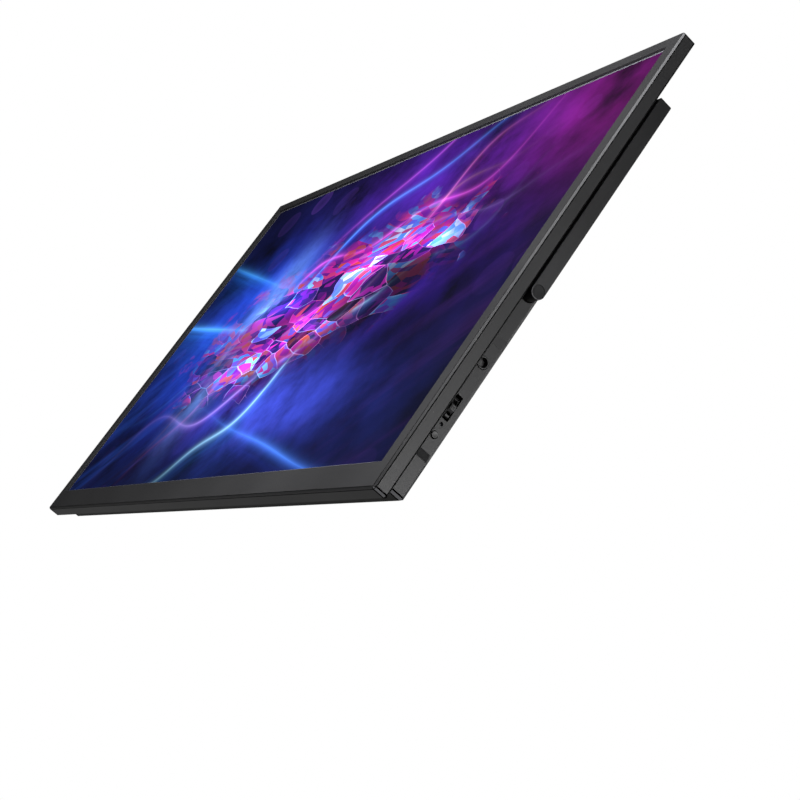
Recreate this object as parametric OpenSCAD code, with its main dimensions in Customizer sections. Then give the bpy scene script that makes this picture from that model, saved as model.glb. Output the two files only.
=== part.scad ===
// Portable monitor, 18.5 inch, with a fold-out loop stand on its back.
// X runs from left to right as the viewer sees the screen, Y from the screen to the back, Z up.
// The origin lies under the middle of the closed monitor, on the plane of its lower edge.

/* [Screen] */
// Width of the lit picture
screen_w = 409.8; // [330:0.1:500]
// Height of the lit picture
screen_h = 230.5; // [185:0.1:285]
// From the picture's side to the outside of the panel
side_border = 10.3; // [9:0.1:15]
// From the picture's top to the outside of the panel
top_border = 8.25; // [7:0.05:15]
// From the picture's bottom to the outside of the panel
chin = 14.45; // [13:0.05:25]
// Dark margin between the picture and the bezel at the sides
margin_side = 2.3; // [0.5:0.1:4]
// Dark margin between the picture and the bezel at top and bottom
margin_end = 1.2; // [0.5:0.1:4]

/* [Panel] */
// Thickness of the panel without the electronics bay
panel_t = 7.4; // [7:0.1:10]
// Thickness of the bezel, which stands this far ahead of the screen
bezel_t = 1.2; // [1.1:0.1:2]
// Thickness of the rear shell's back
shell_t = 1.4; // [1.2:0.1:2.5]
// Thickness of the rear shell's sides
shell_side = 1.6; // [1.2:0.1:2.5]
// Chamfer round the front
front_chamfer = 1.0; // [0.3:0.1:1]
// Chamfer round the back of the panel
back_chamfer = 0.5; // [0.2:0.1:1]
// Cut of the panel's four corners
corner_cut = 1.3; // [0.5:0.1:4]

/* [Electronics bay] */
// Distance from the panel's side to the bay's side
bay_inset = 7.2; // [6:0.1:12]
// Height of the bay's lower side above the panel's lower edge
bay_rise = 5.9; // [4:0.1:12]
// Height of the bay
bay_h = 112.6; // [110:0.1:125]
// Wall of the bay's cover
cover_t = 1.8; // [1.5:0.1:2.5]
// Chamfer round the back of the bay
bay_chamfer = 1.4; // [0.5:0.1:1.5]
// Cut of the bay's four corners
bay_corner = 1.5; // [0.5:0.1:3]
// Depth of the hollow in the bay's side that holds the controls
recess_d = 1.3; // [0.8:0.1:1.6]
// Height of the hollow's lower end above the panel's lower edge
recess_z0 = 24.7; // [20:0.1:26]
// Length of the hollow
recess_l = 63.1; // [60:0.1:66]
// Length of the slope at each end of the hollow
recess_slope = 4.2; // [2:0.1:6]
// Free room behind the tallest part on the boards
bay_room = 0.5; // [0.3:0.1:3]

/* [Boards] */
// Height of the posts that carry the boards
post_h = 1.6; // [1.2:0.1:3]
// Thickness of the boards
board_t = 1.0; // [0.8:0.1:1.6]
// Length of the main board along the panel
main_board_l = 87.6; // [70:0.1:100]
// Height of the main board
main_board_h = 70.0; // [66:0.1:75]
// Width of the key board
key_board_w = 16.0; // [14:0.1:20]
// Radius of the board screws' threads
screw_r = 1.0; // [0.8:0.05:1.5]
// Radius of the board screws' heads
screw_head_r = 1.9; // [1.6:0.05:2.4]
// Height of the board screws' heads
screw_head_h = 0.8; // [0.6:0.05:0.9]

/* [Ports] */
// Height of the upper data port's middle above the panel's lower edge
usb_upper_z = 71.3; // [68:0.1:82]
// Height of the lower data port's middle above the panel's lower edge
usb_lower_z = 52.5; // [48:0.1:56]
// Height of the video port's middle above the panel's lower edge
hdmi_z = 33.1; // [32:0.1:38]
// Width of a data port's metal shell
usb_w = 8.94; // [8.9:0.01:9]
// Height of a data port's metal shell
usb_h = 3.26; // [3.2:0.01:3.3]
// Width of the video port's metal shell
hdmi_w = 11.2; // [11:0.1:11.4]
// Height of the video port's metal shell
hdmi_h = 3.3; // [3.2:0.1:3.4]
// Sheet thickness of the ports' metal shells
port_sheet = 0.3; // [0.2:0.05:0.35]
// Gap between a port and its window in the bay's wall
port_gap = 0.25; // [0.15:0.05:0.5]

/* [Controls] */
// Height of the headphone jack's middle above the panel's lower edge
jack_z = 74.2; // [70:0.1:78]
// Radius of the headphone jack's bore, for a 3.5 mm plug
jack_bore_r = 1.8; // [1.76:0.01:1.85]
// Radius of the jack's collar
jack_collar_r = 2.75; // [2.4:0.05:3]
// Height of the jack's body above its board
jack_h = 4.7; // [4.5:0.1:6]
// Height of the menu lever's middle above the panel's lower edge
jog_z = 50.5; // [48:0.1:54]
// Length of the menu lever's window
jog_window_l = 12.3; // [11:0.1:14]
// Width of the menu lever's window
jog_window_w = 3.2; // [2.8:0.1:3.6]
// Travel of the menu lever up and down
jog_travel = 1.2; // [0.8:0.1:1.5]
// Height of the status light's middle above the panel's lower edge
light_z = 42.0; // [41:0.1:43]
// Radius of the status light
light_r = 0.75; // [0.5:0.05:1]
// Height of the power button's middle above the panel's lower edge
power_z = 36.6; // [34:0.1:37.5]
// Radius of the power button
power_r = 1.4; // [1.2:0.05:2.2]
// Gap round the power button
power_gap = 0.35; // [0.2:0.05:0.6]
// How far the power button and the menu lever stand out of the hollow's floor
control_proud = 0.6; // [0.2:0.1:0.7]
// Travel of the power button and of the menu lever when pressed
press_travel = 0.4; // [0.2:0.05:0.5]

/* [Stand] */
// Thickness of the stand, front to back
stand_t = 6.8; // [6:0.1:8.2]
// Gap between the stand and the panel's back
stand_gap = 0.9; // [0.6:0.1:1.5]
// Gap between the stand's arms and the bay's sides
arm_gap = 0.4; // [0.3:0.1:1]
// Height of the stand's cross rail
rail_h = 4.4; // [4:0.1:9]
// From the top of the folded stand to the top of the panel
stand_drop = 33.2; // [20:0.1:60]
// From the bay's top down to the pivot
pivot_drop = 7.8; // [7:0.1:12]
// Depth of the round hollow in the bay's side behind each arm's end
seat_d = 0.9; // [0.3:0.1:1]
// Gap between an arm's round end and the edge of that hollow
seat_gap = 0.4; // [0.3:0.1:1.5]
// Radius of the hinge pins
pin_r = 1.9; // [1.5:0.05:2.2]
// Running clearance of the hinge pins in their brackets
pin_clearance = 0.05; // [0.02:0.01:0.1]
// Radius of the round caps over the pins
cap_r = 2.9; // [2.5:0.05:2.95]
// Thickness of the caps
cap_t = 0.8; // [0.5:0.1:1.5]
// Length of each rubber pad on the cross rail
pad_l = 60; // [30:1:100]

/* [Wall mount] */
// Spacing of the four holes both ways
vesa = 75; // [70:1:76]
// Height of the lower holes above the panel's lower edge
vesa_z = 27.6; // [26:0.1:30]
// Radius of the threaded holes, M4
vesa_bore_r = 2.0; // [2:0.05:2.1]
// Radius of the sunk mouth round each hole
vesa_mouth_r = 4.7; // [4:0.1:5.5]
// Depth of the sunk mouth
vesa_mouth_d = 1.1; // [0.6:0.1:1.4]

/* [Hidden] */
$fn = 64;

eps = 0.01;              // how far a cutting shape runs past a face
fit = 0.02;              // radial gap of pieces that are pressed or glued together
thread_gap = 0.05;       // radial gap of a screw in its pilot hole

// Outer sizes
panel_w = screen_w + 2*side_border;
panel_h = screen_h + chin + top_border;
panel_x = panel_w/2;
bay_t = post_h + board_t + jack_h + bay_room + cover_t;
bay_x = panel_x - bay_inset;
bay_z0 = bay_rise;
bay_z1 = bay_rise + bay_h;

// Planes from front to back
y_front = -(panel_t + bay_t)/2;
y_screen = y_front + bezel_t;
y_back = y_front + panel_t;
y_bay = y_back + bay_t;
y_shell_in = y_back - shell_t;
y_board = y_back + post_h + board_t;
y_cover_in = y_bay - cover_t;

// Layers of the screen, from its front
film_t = 0.2;
cell_t = 1.1;
films_t = 0.5;
guide_t = 1.2;
reflector_t = 0.2;
chassis_t = 0.5;
y_cell = y_screen + film_t;
y_films = y_cell + cell_t;
y_guide = y_films + films_t;
y_reflector = y_guide + guide_t;
y_chassis = y_reflector + reflector_t;
y_tape = y_chassis + chassis_t;

// The screen's layers, seen from the front
screen_z = chin + screen_h/2;
opening_x = screen_w/2 + margin_side;
opening_z0 = chin - margin_end;
opening_z1 = chin + screen_h + margin_end;
cell_lap = 2.0;          // how far the glass reaches behind the bezel at sides and top
cell_x = opening_x + cell_lap;
cell_z0 = opening_z0 - 9.0;
cell_z1 = opening_z1 + cell_lap;
rim = 0.5;               // sheet thickness of the chassis rim
layer_gap = 0.3;         // between the rim and the layers inside it
layer_x = cell_x - rim - layer_gap;
layer_z1 = cell_z1 - rim - layer_gap;
led_h = 1.6;
led_z0 = cell_z0 + rim + 3.5;
guide_z0 = led_z0 + led_h;

// The bay's inside: the side with the controls has a thicker wall, which the hollow thins again
wall_left = -bay_x + cover_t;
recess_x = bay_x - recess_d;
wall_right = recess_x - cover_t;
control_y = y_board + 2.3;
port_y = y_board + usb_h/2 + 0.1;

// Boards
board_edge = 0.6;        // between a board and the bay's wall
main_x0 = wall_left + board_edge;
main_x1 = main_x0 + main_board_l;
main_z0 = 24.0;
main_z1 = main_z0 + main_board_h;
key_x1 = wall_right - 1.9;
key_x0 = key_x1 - key_board_w;
key_z0 = 27.0;
key_z1 = 91.0;
screw_in = 4.0;          // from a board's edge to its screws
board_holes = [[main_x0 + 3*screw_in, main_z0 + screw_in - 1.2], [main_x1 - screw_in, main_z0 + screw_in],
    [main_x0 + screw_in, main_z1 - screw_in], [main_x1 - screw_in, main_z1 - screw_in],
    [key_x0 + screw_in, key_z0 + screw_in], [key_x0 + screw_in, key_z1 - screw_in]];
post_r = 2.6;

// Screws that hold the cover, driven from inside the panel
cover_post_in = 38;
cover_post_x = 60;
cover_screw_l = 5.0;
cover_holes = [for (x = [-bay_x + cover_post_in, -cover_post_x, cover_post_x, bay_x - cover_post_in])
    for (z = [bay_z0 + 6.2, bay_z1 - 6.4]) [x, z]];

// Wall mount
vesa_holes = [for (x = [-vesa/2, vesa/2]) for (z = [vesa_z, vesa_z + vesa]) [x, z]];
insert_r = 3.2;
insert_l = 5.6;
insert_y1 = y_bay - vesa_mouth_d;

// Speakers
speaker_x0 = 68;
speaker_l = 44;
speaker_h = 12;
speaker_t = 4.6;
speaker_z0 = bay_z0 + cover_t + 1.4;

// Panel cable and driver board
driver_t = 0.8;
driver_x = cell_x - 49;
driver_z0 = 34;
driver_h = 12;
slot_x0 = main_x1 + 8;
slot_w = 6;
cable_t = 0.3;
cable_z0 = driver_z0 + 2;
cable_w = 8;
key_cable_z = 60;
key_cable_w = 6;

// Stand and hinge
pivot_y = y_back + stand_gap + stand_t/2;
pivot_z = bay_z1 - pivot_drop;
arm_x0 = bay_x + arm_gap;
stand_z1 = panel_h - stand_drop;
rail_z0 = stand_z1 - rail_h;
cap_seat = panel_x - cap_t - 0.1;
ear_t = 2.2;
ear_x1 = wall_right - 0.3;
ear_x0 = ear_x1 - ear_t;
ear_r = pin_r + 1.5;
washer_t = 0.5;
washers = 3;
nut_r = 2.9;
nut_t = 2.4;
washer_r = min(nut_r + 0.1, y_cover_in - 0.3 - pivot_y);
washer_x0 = ear_x0 - washers*washer_t;
nut_x0 = washer_x0 - nut_t;
bracket_t = 1.2;
bracket_x0 = ear_x0 - 12.4;
bracket_z0 = pivot_z - 13.0;
bracket_z1 = min(pivot_z + 4.6, bay_z1 - cover_t - 0.3);
bracket_holes = [[bracket_x0 + 3.2, bracket_z0 + 3.2], [bracket_x0 + 9.4, bracket_z0 + 3.2]];
pad_z = 0.9;             // depth of the groove for a pad
pad_proud = 0.2;
pad_w = 3.2;
pad_x = 0.55*panel_x;

// Colours
black_plastic = [0.13, 0.13, 0.135];
dark_bezel = [0.17, 0.17, 0.175];
stand_grey = [0.22, 0.22, 0.225];
steel = [0.66, 0.67, 0.69];
brass = [0.78, 0.63, 0.33];
board_green = [0.07, 0.28, 0.16];
rubber = [0.08, 0.08, 0.08];

// ---- Shapes ------------------------------------------------------------------------------

// A flat shape drawn in X and Z, made solid from y0 to y1
module along_y(y0, y1) {
    translate([0, y1, 0]) rotate([90, 0, 0]) linear_extrude(y1 - y0) children();
}

// A flat shape drawn in Y and Z, made solid from x0 to x1
module along_x(x0, x1) {
    translate([x0, 0, 0]) rotate([90, 0, 90]) linear_extrude(x1 - x0) children();
}

// A box between two corners
module box(a, b) {
    translate(a) cube(b - a);
}

// A round rod along X at the given height and depth
module rod_x(x0, x1, r, y, z) {
    translate([x0, y, z]) rotate([0, 90, 0]) cylinder(h = x1 - x0, r = r);
}

// A round rod along Y
module rod_y(y0, y1, r, x, z) {
    translate([x, y0, z]) rotate([-90, 0, 0]) cylinder(h = y1 - y0, r = r);
}

// A rectangle whose corners are cut by c, or by c0 at the low end of its second side
module cut_rect(u0, u1, v0, v1, c, c0) {
    d = is_undef(c0) ? c : c0;
    polygon([[u0 + d, v0], [u1 - d, v0], [u1, v0 + d], [u1, v1 - c], [u1 - c, v1],
        [u0 + c, v1], [u0, v1 - c], [u0, v0 + d]]);
}

// A flat case: corners cut as seen from the front, and chamfers round its front and back
module slab(x0, x1, z0, z1, y0, y1, front, back, corner) {
    intersection() {
        along_y(y0, y1) cut_rect(x0, x1, z0, z1, corner);
        translate([0, 0, z0 - 1]) linear_extrude(z1 - z0 + 2)
            polygon([[x0 + front, y0], [x1 - front, y0], [x1, y0 + front], [x1, y1 - back],
                [x1 - back, y1], [x0 + back, y1], [x0, y1 - back], [x0, y0 + front]]);
        along_x(x0 - 1, x1 + 1)
            polygon([[y0, z0 + front], [y0 + front, z0], [y1 - back, z0], [y1, z0 + back],
                [y1, z1 - back], [y1 - back, z1], [y0 + front, z1], [y0, z1 - front]]);
    }
}

// A rectangle with half-round ends, long along its second axis
module stadium(w, h) {
    square([h, w - h], center = true);
    for (s = [-1, 1]) translate([0, s*(w - h)/2]) circle(d = h);
}

// The video port's outline: two corners are cut wide, as on the plug
module hdmi_outline(w, h) {
    c = 0.4*h;
    polygon([[-h/2, -w/2 + c], [-h/2 + c, -w/2], [h/2 - 0.4, -w/2], [h/2, -w/2 + 0.4],
        [h/2, w/2 - 0.4], [h/2 - 0.4, w/2], [-h/2 + c, w/2], [-h/2, w/2 - c]]);
}

// A screw along Y: head at y_head, thread running to y_tip
module screw_y(x, z, y_head, y_tip) {
    up = y_head > y_tip ? 1 : -1;
    difference() {
        rod_y(min(y_head, y_head + up*screw_head_h), max(y_head, y_head + up*screw_head_h),
            screw_head_r, x, z);
        // cross slot, as two bars
        for (a = [0, 90]) translate([x, y_head + up*screw_head_h, z]) rotate([0, a, 0])
            cube([2.2, 0.7, 0.45], center = true);
    }
    rod_y(min(y_head, y_tip), max(y_head, y_tip), screw_r, x, z);
}

// Copies on the right side and, mirrored, on the left
module both_sides() {
    children();
    mirror([1, 0, 0]) children();
}

// ---- Screen ------------------------------------------------------------------------------

module front_bezel() {
    color(dark_bezel) difference() {
        slab(-panel_x, panel_x, 0, panel_h, y_front, y_screen, front_chamfer, 0, corner_cut);
        box([-opening_x, y_front - 1, opening_z0], [opening_x, y_screen + 1, opening_z1]);
    }
}

module screen_film() {
    color([0.05, 0.05, 0.15])
        box([-cell_x, y_screen, cell_z0 + 6], [cell_x, y_cell, cell_z1]);
}

module lcd_cell() {
    color([0.10, 0.10, 0.12]) box([-cell_x, y_cell, cell_z0], [cell_x, y_films, cell_z1]);
}

module optical_films() {
    color([0.95, 0.95, 0.93])
        box([-layer_x, y_films, guide_z0 - 0.5], [layer_x, y_guide, layer_z1]);
}

module light_guide() {
    color([0.85, 0.92, 0.95, 0.6]) box([-layer_x, y_guide, guide_z0], [layer_x, y_reflector, layer_z1]);
}

module led_strip() {
    lamps = 40;
    pitch = (2*layer_x - 12)/(lamps - 1);
    color([0.95, 0.90, 0.60]) {
        box([-layer_x, y_guide, led_z0 - 1.2], [layer_x, y_guide + 0.3, guide_z0 - 0.5]);
        for (i = [0:lamps - 1]) translate([-layer_x + 6 + i*pitch - 1.5, y_guide + 0.3, led_z0])
            cube([3, guide_t - 0.4, led_h - 0.1]);
    }
}

module reflector_sheet() {
    color("white") box([-layer_x, y_reflector, led_z0], [layer_x, y_chassis, layer_z1]);
}

module panel_chassis() {
    color(steel) difference() {
        box([-cell_x, y_films, cell_z0], [cell_x, y_tape, cell_z1]);
        box([-cell_x + rim, y_films - 1, cell_z0 + rim], [cell_x - rim, y_chassis, cell_z1 - rim]);
    }
}

module driver_board() {
    chips = 6;
    span = 2*driver_x - 60;
    color(board_green) {
        box([-driver_x, y_tape, driver_z0], [driver_x, y_tape + driver_t, driver_z0 + driver_h]);
        for (i = [0:chips - 1])
            translate([-driver_x + 40 + i*span/chips, y_tape + driver_t, driver_z0 + 4])
                cube([10, 0.2, 4]);
    }
}

module mounting_tape() {
    strip = 10;
    tape_x = cell_x - 14;
    color(rubber) {
        both_sides() box([tape_x - strip, y_tape, 50], [tape_x, y_shell_in, cell_z1 - 12]);
        box([-cell_x + 45, y_tape, cell_z1 - 22], [cell_x - 45, y_shell_in, cell_z1 - 12]);
        box([-cell_x + 45, y_tape, driver_z0 + driver_h + 6],
            [cell_x - 45, y_shell_in, driver_z0 + driver_h + 16]);
    }
}

// ---- Cases -------------------------------------------------------------------------------

module rear_shell() {
    color(black_plastic) {
        difference() {
            slab(-panel_x, panel_x, 0, panel_h, y_screen, y_back, 0, back_chamfer, corner_cut);
            slab(-panel_x + shell_side, panel_x - shell_side, shell_side, panel_h - shell_side,
                y_screen - 1, y_shell_in, 0, 0, corner_cut);
            // slot for the panel cable
            box([slot_x0, y_shell_in - 1, cable_z0 - 1], [slot_x0 + slot_w, y_back + 1, cable_z0 + cable_w + 1]);
            // holes for the cover's screws
            for (p = cover_holes) rod_y(y_shell_in - 1, y_back + 1, screw_r + thread_gap, p[0], p[1]);
            both_sides() for (p = bracket_holes)
                rod_y(y_back - 1.0, y_back + 1, screw_r + thread_gap, p[0], p[1]);
            for (p = board_holes) rod_y(y_back - 0.9, y_back + 1, screw_r + thread_gap, p[0], p[1]);
        }
        // posts under the boards
        for (p = board_holes) difference() {
            rod_y(y_back - eps, y_back + post_h, post_r, p[0], p[1]);
            rod_y(y_back - 0.9, y_back + post_h + 1, screw_r + thread_gap, p[0], p[1]);
        }
    }
}

module bay_cover() {
    color(black_plastic) difference() {
        union() {
            difference() {
                slab(-bay_x, bay_x, bay_z0, bay_z1, y_back, y_bay, 0, bay_chamfer, bay_corner);
                box([wall_left, y_back - 1, bay_z0 + cover_t], [wall_right, y_cover_in, bay_z1 - cover_t]);
            }
            // bosses for the wall mount and posts for the screws reach down to the rear shell
            for (p = vesa_holes) rod_y(y_back, y_cover_in + eps, insert_r + 1.6, p[0], p[1]);
            for (p = cover_holes) rod_y(y_back, y_cover_in + eps, post_r, p[0], p[1]);
        }
        // hollow for the controls
        along_y(y_back - 1, y_bay + 1) polygon([[bay_x + 1, recess_z0 - recess_slope/recess_d],
            [bay_x + 1, recess_z0 + recess_l + recess_slope/recess_d],
            [bay_x, recess_z0 + recess_l], [recess_x, recess_z0 + recess_l - recess_slope],
            [recess_x, recess_z0 + recess_slope], [bay_x, recess_z0]]);
        // mouths and bores of the wall mount
        for (p = vesa_holes) {
            rod_y(insert_y1, y_bay + 1, vesa_mouth_r, p[0], p[1]);
            rod_y(insert_y1 - insert_l - 0.3, y_bay + 1, insert_r + fit, p[0], p[1]);
        }
        for (p = cover_holes)
            rod_y(y_back - 1, y_back + cover_screw_l + 0.5, screw_r + thread_gap, p[0], p[1]);
        // hinge pins, and the hollow behind each arm's end
        both_sides() {
            rod_x(wall_right - 3, bay_x + 1, pin_r + 0.4, pivot_y, pivot_z);
            rod_x(bay_x - seat_d, bay_x + 1, stand_t/2 + seat_gap, pivot_y, pivot_z);
        }
        // windows of the ports
        for (z = [usb_upper_z, usb_lower_z]) translate([0, port_y, z])
            along_x(-bay_x - 1, wall_left + 1) stadium(usb_w + 2*port_gap, usb_h + 2*port_gap);
        translate([0, port_y, hdmi_z])
            along_x(-bay_x - 1, wall_left + 1) hdmi_outline(hdmi_w + 2*port_gap, hdmi_h + 2*port_gap);
        // windows of the controls
        rod_x(wall_right - 1, bay_x + 1, jack_collar_r + 0.1, control_y, jack_z);
        rod_x(wall_right - 1, bay_x + 1, power_r + power_gap, control_y, power_z);
        rod_x(wall_right - 1, bay_x + 1, light_r + 0.1, control_y, light_z);
        box([wall_right - 1, control_y - jog_window_w/2, jog_z - jog_window_l/2],
            [bay_x + 1, control_y + jog_window_w/2, jog_z + jog_window_l/2]);
    }
}

module wall_mount_inserts() {
    color(brass) for (p = vesa_holes) difference() {
        rod_y(insert_y1 - insert_l, insert_y1, insert_r, p[0], p[1]);
        rod_y(insert_y1 - insert_l - 1, insert_y1 + 1, vesa_bore_r, p[0], p[1]);
    }
}

// ---- Boards and what they carry ----------------------------------------------------------

module main_board() {
    color(board_green) difference() {
        box([main_x0, y_board - board_t, main_z0], [main_x1, y_board, main_z1]);
        for (i = [0:3]) rod_y(y_board - 2, y_board + 1, screw_r + 0.2, board_holes[i][0], board_holes[i][1]);
    }
    // processor, memory, coils, capacitors and the cables' sockets
    color([0.08, 0.08, 0.09]) {
        translate([main_x0 + 38, y_board, main_z0 + 26]) cube([18, 1.2, 18]);
        translate([main_x0 + 62, y_board, main_z0 + 30]) cube([9, 1.0, 12]);
        for (i = [0:3]) translate([main_x0 + 20, y_board, main_z0 + 14 + 11*i]) cube([6, 2.4, 6]);
        for (i = [0:4]) translate([main_x0 + 34 + 8*i, y_board, main_z0 + 56]) cube([4, 1.6, 4]);
        translate([main_x1 - 8, y_board, cable_z0 - 1]) cube([4, 1.2, cable_w + 2]);
        translate([main_x1 - 8, y_board, key_cable_z - 1]) cube([4, 1.2, key_cable_w + 2]);
        translate([main_x1 - 24, y_board, main_z0 + 2]) cube([8, 1.8, 4]);
    }
}

module usb_c_port(z) {
    mouth = -bay_x + 0.2;
    depth = 7.3;
    color(steel) translate([0, port_y, z]) {
        difference() {
            along_x(mouth, mouth + depth) stadium(usb_w, usb_h);
            along_x(mouth - 1, mouth + depth - 1) stadium(usb_w - 2*port_sheet, usb_h - 2*port_sheet);
        }
        // tongue in the middle of the socket
        along_x(mouth + 0.6, mouth + depth - 0.5) square([0.7, 6.7], center = true);
    }
}

module usb_c_port_upper() {
    usb_c_port(usb_upper_z);
}

module usb_c_port_lower() {
    usb_c_port(usb_lower_z);
}

module mini_hdmi_port() {
    mouth = -bay_x + 0.1;
    depth = 7.5;
    color(steel) translate([0, port_y, hdmi_z]) {
        difference() {
            along_x(mouth, mouth + depth) hdmi_outline(hdmi_w, hdmi_h);
            along_x(mouth - 1, mouth + depth - 1)
                hdmi_outline(hdmi_w - 2*port_sheet, hdmi_h - 2*port_sheet);
        }
        along_x(mouth + 0.8, mouth + depth - 0.5) square([0.8, 8.0], center = true);
    }
}

module key_board() {
    color(board_green) difference() {
        box([key_x0, y_board - board_t, key_z0], [key_x1, y_board, key_z1]);
        for (i = [4:5]) rod_y(y_board - 2, y_board + 1, screw_r + 0.2, board_holes[i][0], board_holes[i][1]);
    }
    color([0.08, 0.08, 0.09])
        translate([key_x0 + 1, y_board, key_cable_z - 1]) cube([4, 1.2, key_cable_w + 2]);
}

module headphone_jack() {
    body_l = 13.0;
    color([0.07, 0.07, 0.075]) difference() {
        union() {
            box([wall_right - body_l, y_board, jack_z - 3.1], [wall_right - 0.1, y_board + jack_h, jack_z + 3.1]);
            rod_x(wall_right - 0.2, recess_x + 0.2, jack_collar_r, control_y, jack_z);
        }
        rod_x(wall_right - body_l + 1.0, recess_x + 1, jack_bore_r, control_y, jack_z);
    }
}

module power_switch() {
    color([0.15, 0.15, 0.16]) {
        box([key_x1 - 3.6, y_board, power_z - 2.3], [key_x1 - 0.3, y_board + 3.8, power_z + 2.3]);
        rod_x(key_x1 - 0.4, key_x1 + 0.1, 0.9, control_y, power_z);
    }
}

module power_button() {
    // the button, its retaining flange behind the wall and the stem towards the switch
    flange_x = wall_right - 0.3;
    color(stand_grey) {
        rod_x(flange_x - 0.1, recess_x + control_proud, power_r, control_y, power_z);
        rod_x(flange_x - 0.7, flange_x, power_r + 0.8, control_y, power_z);
        rod_x(key_x1 + 0.1 + press_travel + 0.1, flange_x - 0.6, 1.1, control_y, power_z);
    }
}

module jog_switch() {
    color([0.15, 0.15, 0.16])
        box([key_x1 - 7.5, y_board, jog_z - 6], [key_x1 - 1.5, y_board + 4.4, jog_z + 6]);
}

module jog_slider() {
    color([0.35, 0.35, 0.36])
        box([key_x1 - 1.4, control_y - 1.3, jog_z - 2.4], [key_x1 - 0.2, control_y + 1.3, jog_z + 2.4]);
}

module jog_lever() {
    // a bar that rocks in the window, with a nub for the fingertip
    bar_l = jog_window_l - 2*jog_travel - 0.6;
    half_w = jog_window_w/2 - 0.3;
    back_x = key_x1 - 0.2 + press_travel + 0.1;
    color(stand_grey) {
        box([back_x, control_y - half_w, jog_z - bar_l/2],
            [recess_x - 1.0, control_y + half_w, jog_z + bar_l/2]);
        along_y(control_y - half_w, control_y + half_w)
            polygon([[recess_x - 1.1, jog_z - 1.9], [recess_x + control_proud, jog_z - 1.1],
                [recess_x + control_proud, jog_z + 1.1], [recess_x - 1.1, jog_z + 1.9]]);
    }
}

module status_light() {
    color([0.25, 0.27, 0.30]) {
        rod_x(key_x1 - 0.2, recess_x - 0.1, light_r, control_y, light_z);
        box([key_x1 - 2.0, y_board, light_z - 0.9], [key_x1 - 0.2, y_board + 3.1, light_z + 0.9]);
    }
}

module speaker(side) {
    mirror([side < 0 ? 1 : 0, 0, 0]) color([0.09, 0.09, 0.10]) difference() {
        box([speaker_x0, y_back, speaker_z0],
            [speaker_x0 + speaker_l, y_back + speaker_t, speaker_z0 + speaker_h]);
        // shallow well with the cone
        rod_y(y_back + speaker_t - 0.8, y_back + speaker_t + 1, speaker_h/2 - 1.2,
            speaker_x0 + speaker_l/2, speaker_z0 + speaker_h/2);
    }
}

module speaker_left() {
    speaker(-1);
}

module speaker_right() {
    speaker(1);
}

// A ribbon along X: the path's points are [x, y] and its sides stand t apart
module ribbon(path, t, z0, z1) {
    back = [for (i = [len(path) - 1:-1:0]) [path[i][0], path[i][1] + t]];
    translate([0, 0, z0]) linear_extrude(z1 - z0) polygon(concat(path, back));
}

module panel_cable() {
    y_low = y_tape + driver_t;
    color([0.75, 0.75, 0.72])
        ribbon([[main_x1 - 4, y_board + 0.3], [main_x1 + 1, y_board + 0.3], [main_x1 + 5, y_back + 0.2],
            [slot_x0 + 1.5, y_back + 0.2], [slot_x0 + 4.5, y_low], [slot_x0 + slot_w + 8, y_low]],
            cable_t, cable_z0, cable_z0 + cable_w);
}

module key_cable() {
    color([0.75, 0.75, 0.72])
        ribbon([[main_x1 - 4, y_board + 0.3], [main_x1 + 1, y_board + 0.3], [main_x1 + 5, y_back],
            [key_x0 - 5, y_back], [key_x0 - 1, y_board + 0.3], [key_x0 + 1, y_board + 0.3]],
            cable_t, key_cable_z, key_cable_z + key_cable_w);
}

module speaker_cables() {
    // a flat pair to each speaker, soldered under the main board
    wire_h = 1.0;
    pair_w = 1.4;
    z_far = speaker_z0 + speaker_h;
    color([0.12, 0.12, 0.13]) for (way = [[main_x1 - 12, z_far, speaker_x0 + 6],
        [main_x1 - 15, z_far - 4, -speaker_x0 - speaker_l]]) {
        box([way[0], y_back, main_z0 + 1], [way[0] + pair_w, y_back + post_h, main_z0 + 3]);
        box([way[0], y_back, way[1]], [way[0] + pair_w, y_back + wire_h, main_z0 + 1]);
        box([way[0], y_back, way[1]], [way[2], y_back + wire_h, way[1] + pair_w]);
    }
}

// ---- Hinge and stand ---------------------------------------------------------------------

module hinge_bracket() {
    ear_top = min(pivot_y + ear_r, y_cover_in - 0.3);
    color(steel) difference() {
        union() {
            box([bracket_x0, y_back, bracket_z0], [ear_x1, y_back + bracket_t, bracket_z1]);
            intersection() {
                union() {
                    rod_x(ear_x0, ear_x1, ear_r, pivot_y, pivot_z);
                    box([ear_x0, y_back, pivot_z - ear_r], [ear_x1, pivot_y, pivot_z + ear_r]);
                }
                box([ear_x0 - 1, y_back, bracket_z0], [ear_x1 + 1, ear_top, bracket_z1]);
            }
        }
        rod_x(ear_x0 - 1, ear_x1 + 1, pin_r + pin_clearance, pivot_y, pivot_z);
        for (p = bracket_holes) rod_y(y_back - 1, y_back + bracket_t + 1, screw_r + 0.2, p[0], p[1]);
    }
}

module hinge_bracket_left() {
    mirror([1, 0, 0]) hinge_bracket();
}

module hinge_bracket_right() {
    hinge_bracket();
}

module hinge_pin() {
    color(steel) rod_x(nut_x0 - 0.5, cap_seat, pin_r, pivot_y, pivot_z);
}

module hinge_pin_left() {
    mirror([1, 0, 0]) hinge_pin();
}

module hinge_pin_right() {
    hinge_pin();
}

module friction_washers() {
    for (i = [0:washers - 1]) color(i % 2 == 0 ? steel : brass) difference() {
        rod_x(washer_x0 + i*washer_t, washer_x0 + (i + 1)*washer_t - fit, washer_r, pivot_y, pivot_z);
        rod_x(washer_x0 - 1, ear_x0 + 1, pin_r + fit, pivot_y, pivot_z);
    }
}

module friction_washers_left() {
    mirror([1, 0, 0]) friction_washers();
}

module friction_washers_right() {
    friction_washers();
}

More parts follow.
